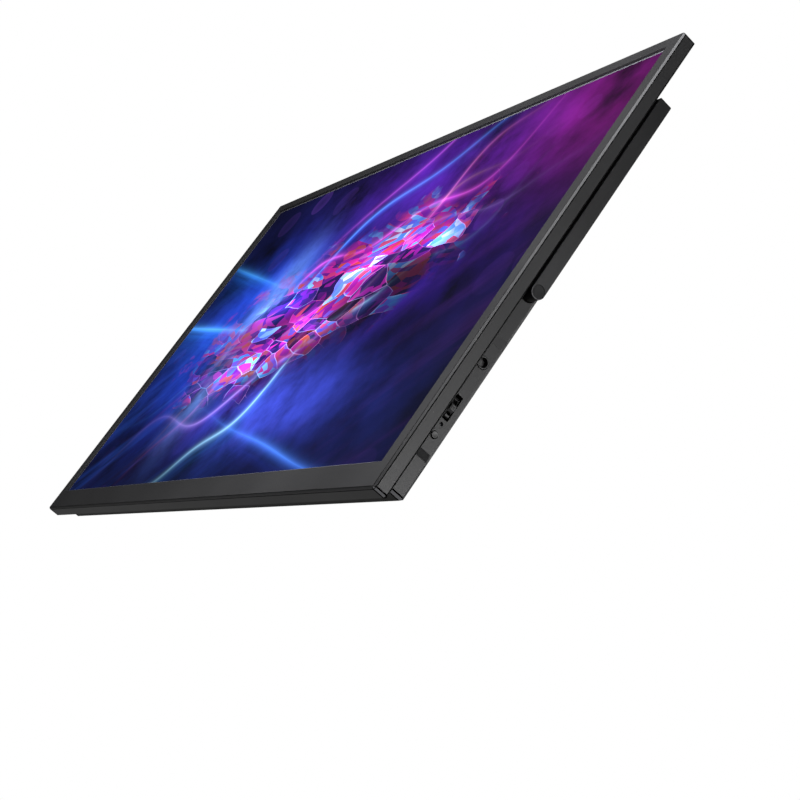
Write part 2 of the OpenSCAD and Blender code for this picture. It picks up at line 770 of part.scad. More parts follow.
module hinge_nuts() {
    color(steel) both_sides() difference() {
        translate([nut_x0, pivot_y, pivot_z]) rotate([0, 90, 0])
            cylinder(h = nut_t - fit, r = nut_r, $fn = 6);
        rod_x(nut_x0 - 1, washer_x0 + 1, pin_r + fit, pivot_y, pivot_z);
    }
}

module stand_frame() {
    y0 = pivot_y - stand_t/2;
    y1 = pivot_y + stand_t/2;
    color(stand_grey) difference() {
        union() {
            both_sides() {
                box([arm_x0, y0, pivot_z], [panel_x, y1, stand_z1]);
                rod_x(arm_x0, panel_x, stand_t/2, pivot_y, pivot_z);
            }
            box([-panel_x, y0, rail_z0], [panel_x, y1, stand_z1]);
        }
        both_sides() {
            rod_x(arm_x0 - 1, panel_x + 1, pin_r + fit, pivot_y, pivot_z);
            rod_x(cap_seat, panel_x + 1, cap_r + 0.05, pivot_y, pivot_z);
            // groove for a pad
            box([pad_x - pad_l/2 - fit, pivot_y - pad_w/2 - fit, stand_z1 - pad_z],
                [pad_x + pad_l/2 + fit, pivot_y + pad_w/2 + fit, stand_z1 + 1]);
        }
    }
}

module stand_pads() {
    color(rubber) both_sides()
        box([pad_x - pad_l/2, pivot_y - pad_w/2, stand_z1 - pad_z],
            [pad_x + pad_l/2, pivot_y + pad_w/2, stand_z1 + pad_proud]);
}

module pivot_cap() {
    color(black_plastic) rod_x(cap_seat, cap_seat + cap_t, cap_r, pivot_y, pivot_z);
}

module pivot_cap_left() {
    mirror([1, 0, 0]) pivot_cap();
}

module pivot_cap_right() {
    pivot_cap();
}

// ---- Screws ------------------------------------------------------------------------------

module board_screws() {
    color(steel) for (p = board_holes) screw_y(p[0], p[1], y_board, y_back - 0.8);
}

module bracket_screws() {
    color(steel) both_sides() for (p = bracket_holes)
        screw_y(p[0], p[1], y_back + bracket_t, y_back - 0.9);
}

module cover_screws() {
    color(steel) for (p = cover_holes) screw_y(p[0], p[1], y_shell_in, y_back + cover_screw_l);
}

front_bezel();
screen_film();
lcd_cell();
optical_films();
light_guide();
led_strip();
reflector_sheet();
panel_chassis();
driver_board();
mounting_tape();
rear_shell();
bay_cover();
wall_mount_inserts();
main_board();
usb_c_port_upper();
usb_c_port_lower();
mini_hdmi_port();
key_board();
headphone_jack();
power_switch();
power_button();
jog_switch();
jog_slider();
jog_lever();
status_light();
speaker_left();
speaker_right();
panel_cable();
key_cable();
speaker_cables();
hinge_bracket_left();
hinge_bracket_right();
hinge_pin_left();
hinge_pin_right();
friction_washers_left();
friction_washers_right();
hinge_nuts();
stand_frame();
stand_pads();
pivot_cap_left();
pivot_cap_right();
board_screws();
bracket_screws();
cover_screws();
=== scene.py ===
"""A slim portable monitor with a fold-out loop stand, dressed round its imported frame.

Row frame, in metres: +X to the viewer's right, +Y from the screen to the back, +Z up.
"""
import math

import bmesh
import bpy
import numpy as np
from mathutils import Matrix, Vector


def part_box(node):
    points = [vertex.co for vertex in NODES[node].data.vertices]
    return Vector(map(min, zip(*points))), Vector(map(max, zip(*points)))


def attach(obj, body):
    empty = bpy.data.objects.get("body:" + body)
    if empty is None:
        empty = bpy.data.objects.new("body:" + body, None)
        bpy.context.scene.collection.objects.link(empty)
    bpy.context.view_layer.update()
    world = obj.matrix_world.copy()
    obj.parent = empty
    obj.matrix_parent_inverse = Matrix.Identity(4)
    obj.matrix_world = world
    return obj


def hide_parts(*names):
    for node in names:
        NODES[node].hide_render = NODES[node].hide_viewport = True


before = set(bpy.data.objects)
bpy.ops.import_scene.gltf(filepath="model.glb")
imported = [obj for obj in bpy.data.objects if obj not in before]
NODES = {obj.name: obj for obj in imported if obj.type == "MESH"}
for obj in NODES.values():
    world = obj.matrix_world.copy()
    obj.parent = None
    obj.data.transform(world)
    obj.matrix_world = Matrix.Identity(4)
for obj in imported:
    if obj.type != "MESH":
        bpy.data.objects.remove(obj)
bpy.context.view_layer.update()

MM = 0.001


def box_of(node):
    """Lowest and highest corner of a CAD node, in millimetres."""
    low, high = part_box(node)
    return np.array(low)/MM, np.array(high)/MM


def middle(node):
    """Middle of a CAD node's box, in millimetres."""
    low, high = box_of(node)
    return (low + high)/2


# Sizes taken from the frame, in millimetres
PANEL_X, _, PANEL_TOP = box_of("rear_shell")[1]
FRONT_Y = box_of("front_bezel")[0][1]
SCREEN_Y = box_of("screen_film")[0][1]
_, BACK_Y, BAY_LOW = box_of("bay_cover")[0]
BAY_X, BAY_Y, BAY_TOP = box_of("bay_cover")[1]
CONTROL_Y = middle("power_button")[1]
PORT_Y = middle("usb_c_port_upper")[1]
PIVOT_Y, PIVOT_Z = middle("hinge_pin_right")[1:]
STAND_TOP = box_of("stand_frame")[1][2]

# Sizes of the part that its boxes don't tell
PICTURE_X, PICTURE_LOW, PICTURE_HIGH = 204.9, 14.45, 244.95
PICTURE_MID = (PICTURE_LOW + PICTURE_HIGH)/2
OPENING_X, OPENING_LOW, OPENING_HIGH = 207.2, 13.25, 246.15
CUT, BAY_CUT = 1.3, 1.5                            # cuts of the panel's and the bay's corners
RECESS_DEPTH, RECESS_SLOPE = 1.3, 4.2              # the hollow for the controls, and the run of its slopes
RECESS_X = BAY_X - RECESS_DEPTH
RECESS_LOW, RECESS_HIGH = 24.7, 87.8
BUTTON_HOLE_R, LIGHT_HOLE_R, JACK_HOLE_R = 1.75, 0.85, 2.85
LEVER_Z, LEVER_HOLE_L, LEVER_HOLE_W = 50.5, 12.3, 3.2
DATA_PORT_L, DATA_PORT_W = 8.94, 3.26
VIDEO_PORT_L, VIDEO_PORT_W = 11.2, 3.3
PORT_ROOM = 0.5                                    # how much longer and wider a port's window is
MOUNT_X, MOUNT_Z = (-37.5, 37.5), (27.6, 102.6)    # the four wall-mount holes
MOUTH_R, MOUTH_DEPTH, INSERT_HOLE_R = 4.7, 1.1, 3.2
ARM_X = BAY_X + 0.4
ARM_R = 3.4
RAIL_LOW = STAND_TOP - 4.4
SEAT_DEPTH = 0.9                                   # of the hollows for the arms' ends and for the caps
PAD_X, PAD_L = 0.55*PANEL_X, 60.0                  # middle and length of a rubber pad
FLAT_X, FLAT_LOW, FLAT_MID, FLAT_HIGH = 200, 13, 65, 111     # the flat sheets of the backs


# ---- Surfaces, in millimetres ------------------------------------------------------------

HOLD = 0.015      # a flat face keeps its own shading up to this close to a rounded edge
# the axes of a flat drawing, then the axis of its height
FRONT, SIDE, WALL, UPRIGHT = (0, 2, 1), (1, 2, 0), (2, 1, 0), (0, 1, 2)


def rounded(corners, radius, steps=4, closed=False):
    """A run of straight sides whose corners are arcs, in a flat plane. Where the run turns by T, the arc
    starts r * tan(T / 2) before the corner, and its points are centre + s * r * n(t), where n turns from
    one side's normal to the next side's; s is 1 at an outer corner and -1 at an inner one. A point HOLD
    away on either side keeps the sides flat. Returns points and normals."""
    corners = np.asarray(corners, float)
    count = len(corners)
    radius = np.broadcast_to(np.asarray(radius, float), (count,))
    points, normals = [], []
    for k in range(count):
        b = corners[k]
        first = b - corners[k - 1] if closed or k > 0 else corners[1] - b
        last = corners[(k + 1) % count] - b if closed or k < count - 1 else first
        d1, d2 = first/np.linalg.norm(first), last/np.linalg.norm(last)
        n1 = np.array([d1[1], -d1[0]])
        turn = math.atan2(d1[0]*d2[1] - d1[1]*d2[0], d1 @ d2)
        if abs(turn) < 1e-6:
            points.append(b[None])
            normals.append(n1[None])
            continue
        s = math.copysign(1, turn)
        reach = radius[k]*math.tan(abs(turn)/2)
        t = turn*np.linspace(0, 1, steps + 1)
        n = np.stack([n1[0]*np.cos(t) - n1[1]*np.sin(t), n1[0]*np.sin(t) + n1[1]*np.cos(t)], -1)
        bend = b - d1*reach - s*radius[k]*n1 + s*radius[k]*n
        points += [(b - d1*(reach + HOLD))[None], bend, (b + d2*(reach + HOLD))[None]]
        normals += [n[:1], n, n[-1:]]
    return np.concatenate(points), np.concatenate(normals)


def circle(u, v, r, count=48):
    """Points centre + r * n(t) and normals n(t) = (cos t, sin t), for count angles."""
    t = np.linspace(0, 2*np.pi, count, endpoint=False)
    n = np.stack([np.cos(t), np.sin(t)], -1)
    return np.array([u, v]) + r*n, n


def oblong(u, v, long_u, long_v, radius, steps=6):
    """Rounded rectangle about a middle, as points and normals."""
    a, b = long_u/2, long_v/2
    return rounded([(u - a, v - b), (u + a, v - b), (u + a, v + b), (u - a, v + b)],
                   min(radius, a - 0.001, b - 0.001), steps, closed=True)


def cut_rectangle(u0, u1, v0, v1, c):
    """Corners of a rectangle whose four corners are cut by c, turning left."""
    return [(u0 + c, v0), (u1 - c, v0), (u1, v0 + c), (u1, v1 - c), (u1 - c, v1), (u0 + c, v1), (u0, v1 - c),
            (u0, v0 + c)]


def lip(radius, depth, steps=3):
    """Profile of a hole's edge, as (outward, depth): an arc from the face into the wall."""
    return rounded([(1, 0), (0, 0), (0, depth)], radius, steps)[0][1:]


def lay(axes, flat, height):
    """Flat points (u, v) at a height, as points in space."""
    points = np.zeros((len(flat), 3))
    points[:, axes[0]], points[:, axes[1]], points[:, axes[2]] = flat[:, 0], flat[:, 1], height
    return points


def placed(name, data):
    """A new object in the scene."""
    made = bpy.data.objects.new(name, data)
    bpy.context.scene.collection.objects.link(made)
    return made


class Surface:
    """Points, faces and tone of one piece, gathered from several sheets. Tone is 0 on a plain face, 1 in a
    black seam or in painted shade, and below 0 where a painted highlight pales the face, such as an edge."""

    def __init__(self):
        self.points, self.faces, self.shade, self.count = [], [], [], 0

    def add(self, points, faces, shade=0.0):
        self.points.append(points)
        self.shade.append(np.broadcast_to(shade, (len(points),)))
        self.faces.extend((np.asarray(face) + self.count).tolist() for face in faces)
        self.count += len(points)

    def stack(self, rings, shade=0.0, closed=True, skip=None):
        """Rings of as many points each, one after the other: point (j, i) is ring j's i-th point, and each
        cell of the grid is a face. skip(j, i) leaves cells out, and shade has a value for each ring or each
        point."""
        rings = np.asarray(rings, float)
        rows, columns = rings.shape[:2]
        j, i = np.meshgrid(np.arange(rows - 1), np.arange(columns if closed else columns - 1), indexing="ij")
        if skip is not None:
            keep = ~skip(j, i)
            j, i = j[keep], i[keep]
        i2 = (i + 1) % columns
        quads = np.stack([j*columns + i, j*columns + i2, (j + 1)*columns + i2, (j + 1)*columns + i], -1)
        shade = np.asarray(shade, float)
        shade = np.broadcast_to(shade[:, None] if shade.ndim == 1 else shade, (rows, columns))
        self.add(rings.reshape(-1, 3), quads.reshape(-1, 4), shade.reshape(-1))

    def caps(self, *rings):
        """One face over each ring."""
        for ring in rings:
            self.add(ring, [np.arange(len(ring))])

    def sweep(self, axes, path, normals, profile):
        """A profile carried round a closed path and shut at both ends: point (j, i) = path_i + a_j *
        normal_i, at the height h_j, for each (a, h) of the profile."""
        rings = [lay(axes, path + a*normals, h) for a, h in profile]
        self.stack(rings)
        self.caps(rings[0], rings[-1])

    def turn(self, axes, u, v, profile, count=48, shade=0.0):
        """A round surface: point (j, i) is the middle plus r_j * (cos t_i, sin t_i), at the height h_j, for
        each (r, h) of the profile."""
        path, normals = circle(u, v, 0.0, count)
        self.stack([lay(axes, path + r*normals, h) for r, h in profile], shade)

    def holed(self, axes, level, way, low, high, holes, inside=0.0):
        """A flat rectangle with holes in a row along its first side. Each hole is (points, normals,
        profile, end): its outline, its profile of (outward, depth) and, if given, one more ring (points,
        depth) to run to. The rectangle is cut into a cell a hole; where a ray from the hole's middle
        through a point of its outline meets the cell's side, there lies the outer point. The walls of the
        holes have the tone given, which paints shade into them."""
        walls = [(a[0][:, 0].max() + b[0][:, 0].min())/2 for a, b in zip(holes, holes[1:])]
        edges = [low[0], *walls, high[0]]
        for k, (path, normals, profile, *ends) in enumerate(holes):
            a, b = np.array([edges[k], low[1]]), np.array([edges[k + 1], high[1]])
            centre = (path.min(0) + path.max(0))/2
            ray = path - centre
            with np.errstate(divide="ignore", invalid="ignore"):
                reach = np.where(ray > 0, b - centre, a - centre)/ray
            reach[ray == 0] = np.inf
            rim = centre + reach.min(1)[:, None]*ray
            for corner in ((a[0], a[1]), (b[0], a[1]), (b[0], b[1]), (a[0], b[1])):
                rim[np.argmin(np.linalg.norm(rim - corner, axis=1))] = corner
            rings = [lay(axes, rim, level)]
            rings += [lay(axes, path + out*normals, level + way*deep) for out, deep in profile]
            rings += [lay(axes, end, level + way*deep) for end, deep in ends]
            self.stack(rings, [0, *[inside*(deep > 0.02) for _, deep in profile], *[inside for _ in ends]])

    def block(self, low, high, radius):
        """A box with rounded edges: a rounded outline across X, carried along X with eased ends."""
        path, normals = oblong((low[1] + high[1])/2, (low[2] + high[2])/2, high[1] - low[1], high[2] - low[2],
                               radius, 2)
        profile = rounded([(-radius - HOLD, low[0]), (0, low[0]), (0, high[0]), (-radius - HOLD, high[0])],
                          radius*0.99, 2)[0]
        self.sweep(SIDE, path, normals, profile)

    def mirror(self):
        """Adds the mirror image across the plane x = 0."""
        points, shade = np.concatenate(self.points), np.concatenate(self.shade)
        self.add(points*np.array([-1, 1, 1]), [list(face) for face in self.faces], shade)

    def make(self, name, body, slot, look, *nodes):
        """Makes the piece, riding on a body and standing for the CAD nodes named."""
        mesh = bpy.data.meshes.new(name)
        mesh.from_pydata((np.concatenate(self.points)*MM).tolist(), [], self.faces)
        tone = mesh.attributes.new("tone", "FLOAT", "POINT")
        tone.data.foreach_set("value", np.concatenate(self.shade).astype(np.float32))
        shell = bmesh.new()
        shell.from_mesh(mesh)
        bmesh.ops.remove_doubles(shell, verts=shell.verts, dist=2e-7)
        bmesh.ops.recalc_face_normals(shell, faces=shell.faces)
        shell.to_mesh(mesh)
        shell.free()
        mesh.polygons.foreach_set("use_smooth", np.ones(len(mesh.polygons), bool))
        mesh.materials.append(look)
        piece = placed(name, mesh)
        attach(piece, body)
        if nodes:
            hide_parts(*nodes)


# ---- Materials ---------------------------------------------------------------------------

class Wiring:
    """Lays nodes in one node tree. A value can be a number, a tuple or another node's output."""

    def __init__(self, tree):
        self.tree = tree

    def node(self, kind, **settings):
        made = self.tree.nodes.new(kind)
        for key, value in settings.items():
            setattr(made, key, value)
        return made

    def feed(self, socket, value):
        if isinstance(value, bpy.types.NodeSocket):
            self.tree.links.new(value, socket)
        elif value is not None:
            socket.default_value = value

    def math(self, operation, a, b=None, c=None, clamp=False):
        made = self.node("ShaderNodeMath", operation=operation, use_clamp=clamp)
        for socket, value in zip(made.inputs, (a, b, c)):
            self.feed(socket, value)
        return made.outputs[0]

    def times(self, a, b):
        return self.math("MULTIPLY", a, b)

    def plus(self, a, b):
        return self.math("ADD", a, b)

    def minus(self, a, b):
        return self.math("SUBTRACT", a, b)

    def vector(self, operation, a, b=None):
        made = self.node("ShaderNodeVectorMath", operation=operation)
        self.feed(made.inputs[0], a)
        self.feed(made.inputs[3] if operation == "SCALE" else made.inputs[1], b)
        return made.outputs["Value" if operation in ("LENGTH", "DOT_PRODUCT") else "Vector"]

    def mix(self, factor, a, b):
        made = self.node("ShaderNodeMix", data_type="RGBA")
        self.feed(made.inputs["Factor"], factor)
        self.feed(made.inputs[6], a)
        self.feed(made.inputs[7], b)
        return made.outputs[2]

    def span(self, value, low, high, to_low=0.0, to_high=1.0, smooth=False):
        made = self.node("ShaderNodeMapRange", interpolation_type="SMOOTHSTEP" if smooth else "LINEAR")
        for name, v in (("Value", value), ("From Min", low), ("From Max", high),
                        ("To Min", to_low), ("To Max", to_high)):
            self.feed(made.inputs[name], v)
        return made.outputs["Result"]

    def noise(self, vector, scale, detail=2.0, rough=0.5, stretch=None, output="Fac"):
        if stretch is not None:
            vector = self.vector("MULTIPLY", vector, stretch)
        values = {"Vector": vector, "Scale": scale, "Detail": detail, "Roughness": rough}
        return self.texture("Noise", values).outputs[output]

    def texture(self, kind, values, **settings):
        """A texture node fed with its values, by the names of its sockets."""
        made = self.node("ShaderNodeTex" + kind, **settings)
        for key, value in values.items():
            self.feed(made.inputs[key], value)
        return made

    def parts(self, vector):
        """The x, y and z of a vector."""
        made = self.node("ShaderNodeSeparateXYZ")
        self.feed(made.inputs[0], vector)
        return made.outputs

    def turned(self, vector, angle, scale=(1, 1, 1)):
        """A flat vector turned about z, then scaled."""
        made = self.node("ShaderNodeMapping")
        self.feed(made.inputs["Vector"], vector)
        made.inputs["Rotation"].default_value = (0, 0, angle)
        made.inputs["Scale"].default_value = scale
        return made.outputs[0]

    def ramp(self, value, stops):
        made = self.node("ShaderNodeValToRGB")
        ramp = made.color_ramp
        for k, (at, colour) in enumerate(stops):
            stop = ramp.elements[k] if k < 2 else ramp.elements.new(at)
            stop.position, stop.color = at, (*colour, 1)
        self.feed(made.inputs[0], value)
        return made.outputs[0]

    def group(self, tree, **values):
        made = self.node("ShaderNodeGroup")
        made.node_tree = tree
        for key, value in values.items():
            self.feed(made.inputs[key.replace("_", " ")], value)
        return made

    def either(self, factor, a, b):
        """Shader a where the factor is 0 and shader b where it is 1."""
        made = self.node("ShaderNodeMixShader")
        for socket, value in zip(made.inputs, (factor, a, b)):
            self.feed(socket, value)
        return made.outputs[0]


def effect(name, inputs, outputs):
    """A node group with its sockets. Each input's first value tells its kind: a number, three numbers for a
    vector, four for a colour, and None for a vector without one. Outputs give their kind."""
    tree = bpy.data.node_groups.new(name, "ShaderNodeTree")
    for label, value in inputs.items():
        size = 3 if value is None else len(np.atleast_1d(value))
        kind = {1: "Float", 3: "Vector", 4: "Color"}[size]
        socket = tree.interface.new_socket(name=label, in_out="INPUT", socket_type="NodeSocket" + kind)
        if value is not None:
            socket.default_value = value
    for label, kind in outputs.items():
        tree.interface.new_socket(name=label, in_out="OUTPUT", socket_type="NodeSocket" + kind)
    wires = Wiring(tree)
    return tree, wires, wires.node("NodeGroupInput").outputs, wires.node("NodeGroupOutput").inputs


def moulded_texture():
    """Fine eroded texture of moulded plastic: a cell-like grain, a softer ripple and slow patches."""
    tree, w, given, out = effect(
        "moulded texture",
        {"Vector": None, "Grain size": 0.35*MM, "Ripple": 0.25},
        {"Height": "Float", "Grain": "Float", "Patches": "Float"})
    fine = w.math("DIVIDE", 1.0, given["Grain size"])
    cells = w.texture("Voronoi", {"Vector": given["Vector"], "Scale": fine, "Smoothness": 0.6},
                      feature="SMOOTH_F1")
    grain = w.minus(1.0, cells.outputs["Distance"])
    ripple = w.noise(given["Vector"], w.times(fine, 0.16), 3.0)
    w.feed(out["Height"], w.plus(grain, w.times(ripple, given["Ripple"])))
    w.feed(out["Grain"], w.span(grain, 0.35, 0.9))
    w.feed(out["Patches"], w.noise(given["Vector"], 14.0, 4.0, 0.55))
    return tree


def handling_marks():
    """Faint wiped streaks and a few fine dust specks, as masks."""
    tree, w, given, out = effect(
        "handling marks",
        {"Vector": None, "Streaks": 0.4, "Specks": 0.3},
        {"Smear": "Float", "Dust": "Float"})
    broad = w.noise(given["Vector"], 9.0, 2.0)
    fine = w.noise(given["Vector"], 60.0, 4.0, 0.6, stretch=(1.0, 1.0, 4.0))
    smear = w.times(w.span(broad, 0.48, 0.75, smooth=True), w.span(fine, 0.4, 0.7))
    w.feed(out["Smear"], w.times(smear, given["Streaks"]))
    specks = w.texture("Voronoi", {"Vector": given["Vector"], "Scale": 240.0})
    dots = w.span(specks.outputs["Distance"], 0.05, 0.03)
    sparse = w.math("GREATER_THAN", w.noise(given["Vector"], 33.0, 1.0), 0.56)
    w.feed(out["Dust"], w.times(w.times(dots, sparse), given["Specks"]))
    return tree


def drawn_lines():
    """Long fine lines of rolled or brushed metal, along the axis with the small stretch."""
    tree, w, given, out = effect(
        "drawn lines",
        {"Vector": None, "Stretch": (1.0, 40.0, 40.0), "Line size": 0.2*MM},
        {"Height": "Float", "Tone": "Float"})
    along = w.vector("MULTIPLY", given["Vector"], given["Stretch"])
    made = w.noise(along, w.math("DIVIDE", 0.02, given["Line size"]), 3.0, 0.6)
    w.feed(out["Height"], made)
    w.feed(out["Tone"], w.span(made, 0.3, 0.7))
    return tree


MOULDED = moulded_texture()
MARKS = handling_marks()
LINES = drawn_lines()


def finish_of(name, roughness, metallic=0.0, specular=0.5, ior=1.5):
    """A material with its shader and wiring, ready for colour, roughness and height."""
    material = bpy.data.materials.new(name)
    material.use_nodes = True
    wires = Wiring(material.node_tree)
    shader = material.node_tree.nodes["Principled BSDF"]
    shader.inputs["Roughness"].default_value = roughness
    shader.inputs["Metallic"].default_value = metallic
    shader.inputs["Specular IOR Level"].default_value = specular
    shader.inputs["IOR"].default_value = ior
    spot = wires.node("ShaderNodeTexCoord").outputs["Object"]
    return material, wires, shader, spot


def bump(wires, shader, height, distance):
    """Feeds a height into the shader's normal."""
    made = wires.node("ShaderNodeBump")
    made.inputs["Distance"].default_value = distance
    wires.feed(made.inputs["Height"], height)
    wires.feed(shader.inputs["Normal"], made.outputs["Normal"])


def plastic(name, colour, roughness, grain=0.35*MM, depth=0.006*MM, specular=0.5, specks=0.25, seams_and_painted_light=False):
    """Moulded plastic: eroded grain, patches that shift tone and gloss a little, faint wiping and dust.
    With seams_and_painted_light, the piece's tone t scales what is seen by 1 - t, which darkens parting
    lines, paints shade into hollows, gaps and undersides, and pales edges and faces as painted highlights."""
    material, w, shader, spot = finish_of(name, roughness, specular=specular)
    skin = w.group(MOULDED, Vector=spot, Grain_size=grain)
    worn = w.group(MARKS, Vector=spot, Streaks=0.35, Specks=specks)
    pale = tuple(min(1.0, c*1.12 + 0.002) for c in colour)
    deep = tuple(c*0.88 for c in colour)
    tone = w.mix(w.span(skin.outputs["Patches"], 0.3, 0.7), (*deep, 1), (*pale, 1))
    dusty = w.mix(worn.outputs["Dust"], tone, (0.30, 0.29, 0.28, 1))
    if seams_and_painted_light:
        # painted shade and highlight: colour and gloss both fall: sqrt(1 - t) stays plastic, and the rest is
        # black metal without gloss; a tone below 0 pales the colour instead
        left = w.minus(1.0, w.node("ShaderNodeAttribute", attribute_name="tone").outputs["Fac"])
        share = w.math("SQRT", w.math("MINIMUM", left, 1.0, clamp=True))
        dusty = w.vector("SCALE", dusty, w.math("DIVIDE", left, share))
        w.feed(shader.inputs["Metallic"], w.minus(1.0, share))
    w.feed(shader.inputs["Base Color"], dusty)
    varied = w.span(skin.outputs["Patches"], 0.25, 0.75, roughness*0.92, roughness*1.08)
    wiped = w.times(worn.outputs["Smear"], -0.08)
    w.feed(shader.inputs["Roughness"], w.plus(varied, wiped))
    bump(w, shader, skin.outputs["Height"], depth)
    return material


def metal(name, colour, roughness, stretch=(1.0, 40.0, 40.0)):
    """Bare or plated metal with drawn lines."""
    material, w, shader, spot = finish_of(name, roughness, metallic=1.0)
    rolled = w.group(LINES, Vector=spot, Stretch=stretch, Line_size=0.2*MM)
    worn = w.group(MARKS, Vector=spot)
    dark = tuple(c*0.9 for c in colour)
    w.feed(shader.inputs["Base Color"], w.mix(rolled.outputs["Tone"], (*dark, 1), (*colour, 1)))
    varied = w.span(rolled.outputs["Tone"], 0, 1, roughness, roughness*1.25)
    wiped = w.times(worn.outputs["Smear"], 0.1)
    w.feed(shader.inputs["Roughness"], w.plus(varied, wiped))
    bump(w, shader, rolled.outputs["Height"], 0.002*MM)
    return material


def board_mask():
    """Circuit board: green lacquer over copper tracks, with pads that show tin."""
    material, w, shader, spot = finish_of("circuit board", 0.35)
    tracks = w.texture("Brick", {"Vector": w.vector("MULTIPLY", spot, (1.0, 0.0, 1.0)), "Scale": 160.0,
                                 "Mortar Size": 0.08})
    cells = w.texture("Voronoi", {"Vector": spot, "Scale": 420.0}, distance="CHEBYCHEV")
    lacquer = w.mix(tracks.outputs["Fac"], (0.03, 0.20, 0.10, 1), (0.06, 0.30, 0.16, 1))
    pads = w.math("LESS_THAN", cells.outputs["Distance"], 0.12)
    w.feed(shader.inputs["Base Color"], w.mix(pads, lacquer, (0.7, 0.7, 0.68, 1)))
    w.feed(shader.inputs["Metallic"], pads)
    w.feed(shader.inputs["Roughness"], w.span(tracks.outputs["Fac"], 0, 1, 0.32, 0.42))
    bump(w, shader, tracks.outputs["Fac"], 0.02*MM)
    return material


def striped(name, pale, dark, pitch, axis, roughness=0.4):
    """Ribbon cable or wire: fine parallel tracks across one axis."""
    material, w, shader, spot = finish_of(name, roughness)
    wave = w.math("SINE", w.times(w.parts(spot)[axis], 2*math.pi/pitch))
    wear = w.noise(spot, 90.0, 3.0)
    line = w.times(w.span(wave, -0.2, 0.4), w.span(wear, 0.2, 0.5, 0.8, 1.0))
    w.feed(shader.inputs["Base Color"], w.mix(line, (*dark, 1), (*pale, 1)))
    w.feed(shader.inputs["Roughness"], w.span(wear, 0.3, 0.7, roughness*0.9, roughness*1.15))
    bump(w, shader, wave, 0.03*MM)
    return material


def sheet_stock(name, colour, roughness):
    """Film, guide or diffuser sheet: faint dots 1.2 mm apart under a haze."""
    material, w, shader, spot = finish_of(name, roughness)
    dots = w.texture("Voronoi", {"Vector": spot, "Scale": 1/(1.2*MM), "Randomness": 0.15})
    mask = w.span(dots.outputs["Distance"], 0.18, 0.30)
    haze = w.noise(spot, 20.0, 3.0)
    tint = w.mix(mask, (*[min(1, c*1.08) for c in colour], 1), (*colour, 1))
    deep = (*[c*0.9 for c in colour], 1)
    w.feed(shader.inputs["Base Color"], w.mix(w.span(haze, 0.3, 0.7, 0, 0.25), tint, deep))
    w.feed(shader.inputs["Roughness"], w.span(haze, 0.3, 0.7, roughness*0.9, roughness*1.1))
    bump(w, shader, mask, 0.005*MM)
    return material


# ---- The picture on the screen -----------------------------------------------------------

def glow_spot():
    """A soft round or oval light. Brightness is exp(-(dx / rx)^2 - (dy / ry)^2) about its centre."""
    tree, w, given, out = effect(
        "glow spot",
        {"Vector": None, "Centre": (0, 0, 0), "Reach": (1, 1, 1), "Colour": (1, 1, 1, 1), "Power": 1.0,
         "Under": (0, 0, 0, 1)},
        {"Colour": "Color"})
    away = w.vector("DIVIDE", w.vector("SUBTRACT", given["Vector"], given["Centre"]), given["Reach"])
    square = w.vector("DOT_PRODUCT", away, away)
    light = w.times(w.math("EXPONENT", w.times(square, -1.0)), given["Power"])
    lit = w.vector("SCALE", given["Colour"], light)
    w.feed(out["Colour"], w.vector("ADD", given["Under"], lit))
    return tree


def light_veil():
    """One folded veil of light. Along it runs s, across it t, after a turn by Angle. Its crest is the line
    t = Offset + Bend * (sin(s * Waves + Phase) + 0.45 * sin(2.3 * s * Waves + 1.7 * Phase)). Above the
    crest there is nothing; below it the light falls off as exp(-depth / Width), with a thin bright line on
    the crest and fine threads that follow it. The veil fades at both ends as exp(-((s - Middle) /
    Length)^2)."""
    tree, w, given, out = effect(
        "light veil",
        {"Vector": None, "Angle": 0.0, "Offset": 0.0, "Bend": 0.2, "Waves": 2.0, "Phase": 0.0,
         "Width": 0.2, "Middle": 0.0, "Length": 1.0, "Colour": (1, 1, 1, 1), "Crest": (1, 1, 1, 1),
         "Power": 1.0, "Under": (0, 0, 0, 1)},
        {"Colour": "Color"})
    x, y, _ = w.parts(given["Vector"])
    cos, sin = w.math("COSINE", given["Angle"]), w.math("SINE", given["Angle"])
    s = w.plus(w.times(x, cos), w.times(y, sin))
    t = w.minus(w.times(y, cos), w.times(x, sin))
    turn = w.times(s, given["Waves"])
    first = w.math("SINE", w.plus(turn, given["Phase"]))
    second = w.math("SINE", w.plus(w.times(turn, 2.3), w.times(given["Phase"], 1.7)))
    bend = w.times(w.plus(first, w.times(second, 0.45)), given["Bend"])
    depth = w.minus(w.plus(given["Offset"], bend), t)
    inside = w.span(depth, 0.0, 0.012)
    below = w.math("MAXIMUM", depth, 0.0)
    fall = w.math("EXPONENT", w.math("DIVIDE", below, w.times(given["Width"], -1)))
    away = w.math("DIVIDE", w.minus(s, given["Middle"]), given["Length"])
    ends = w.math("EXPONENT", w.times(w.times(away, away), -1.0))
    join = w.node("ShaderNodeCombineXYZ")
    w.feed(join.inputs[0], w.times(s, 1.3))
    w.feed(join.inputs[1], w.times(depth, 26.0))
    w.feed(join.inputs[2], given["Phase"])
    threads = w.span(w.noise(join.outputs[0], 1.0, 3.0, 0.6), 0.34, 0.68, 0.45, 1.35)
    body = w.times(w.times(w.times(inside, fall), ends), threads)
    thin = w.times(w.math("EXPONENT", w.times(w.math("ABSOLUTE", depth), -60.0)), ends)
    veil = w.vector("SCALE", given["Colour"], w.times(body, given["Power"]))
    edge = w.vector("SCALE", given["Crest"], w.times(thin, given["Power"]))
    w.feed(out["Colour"], w.vector("ADD", w.vector("ADD", given["Under"], veil), edge))
    return tree


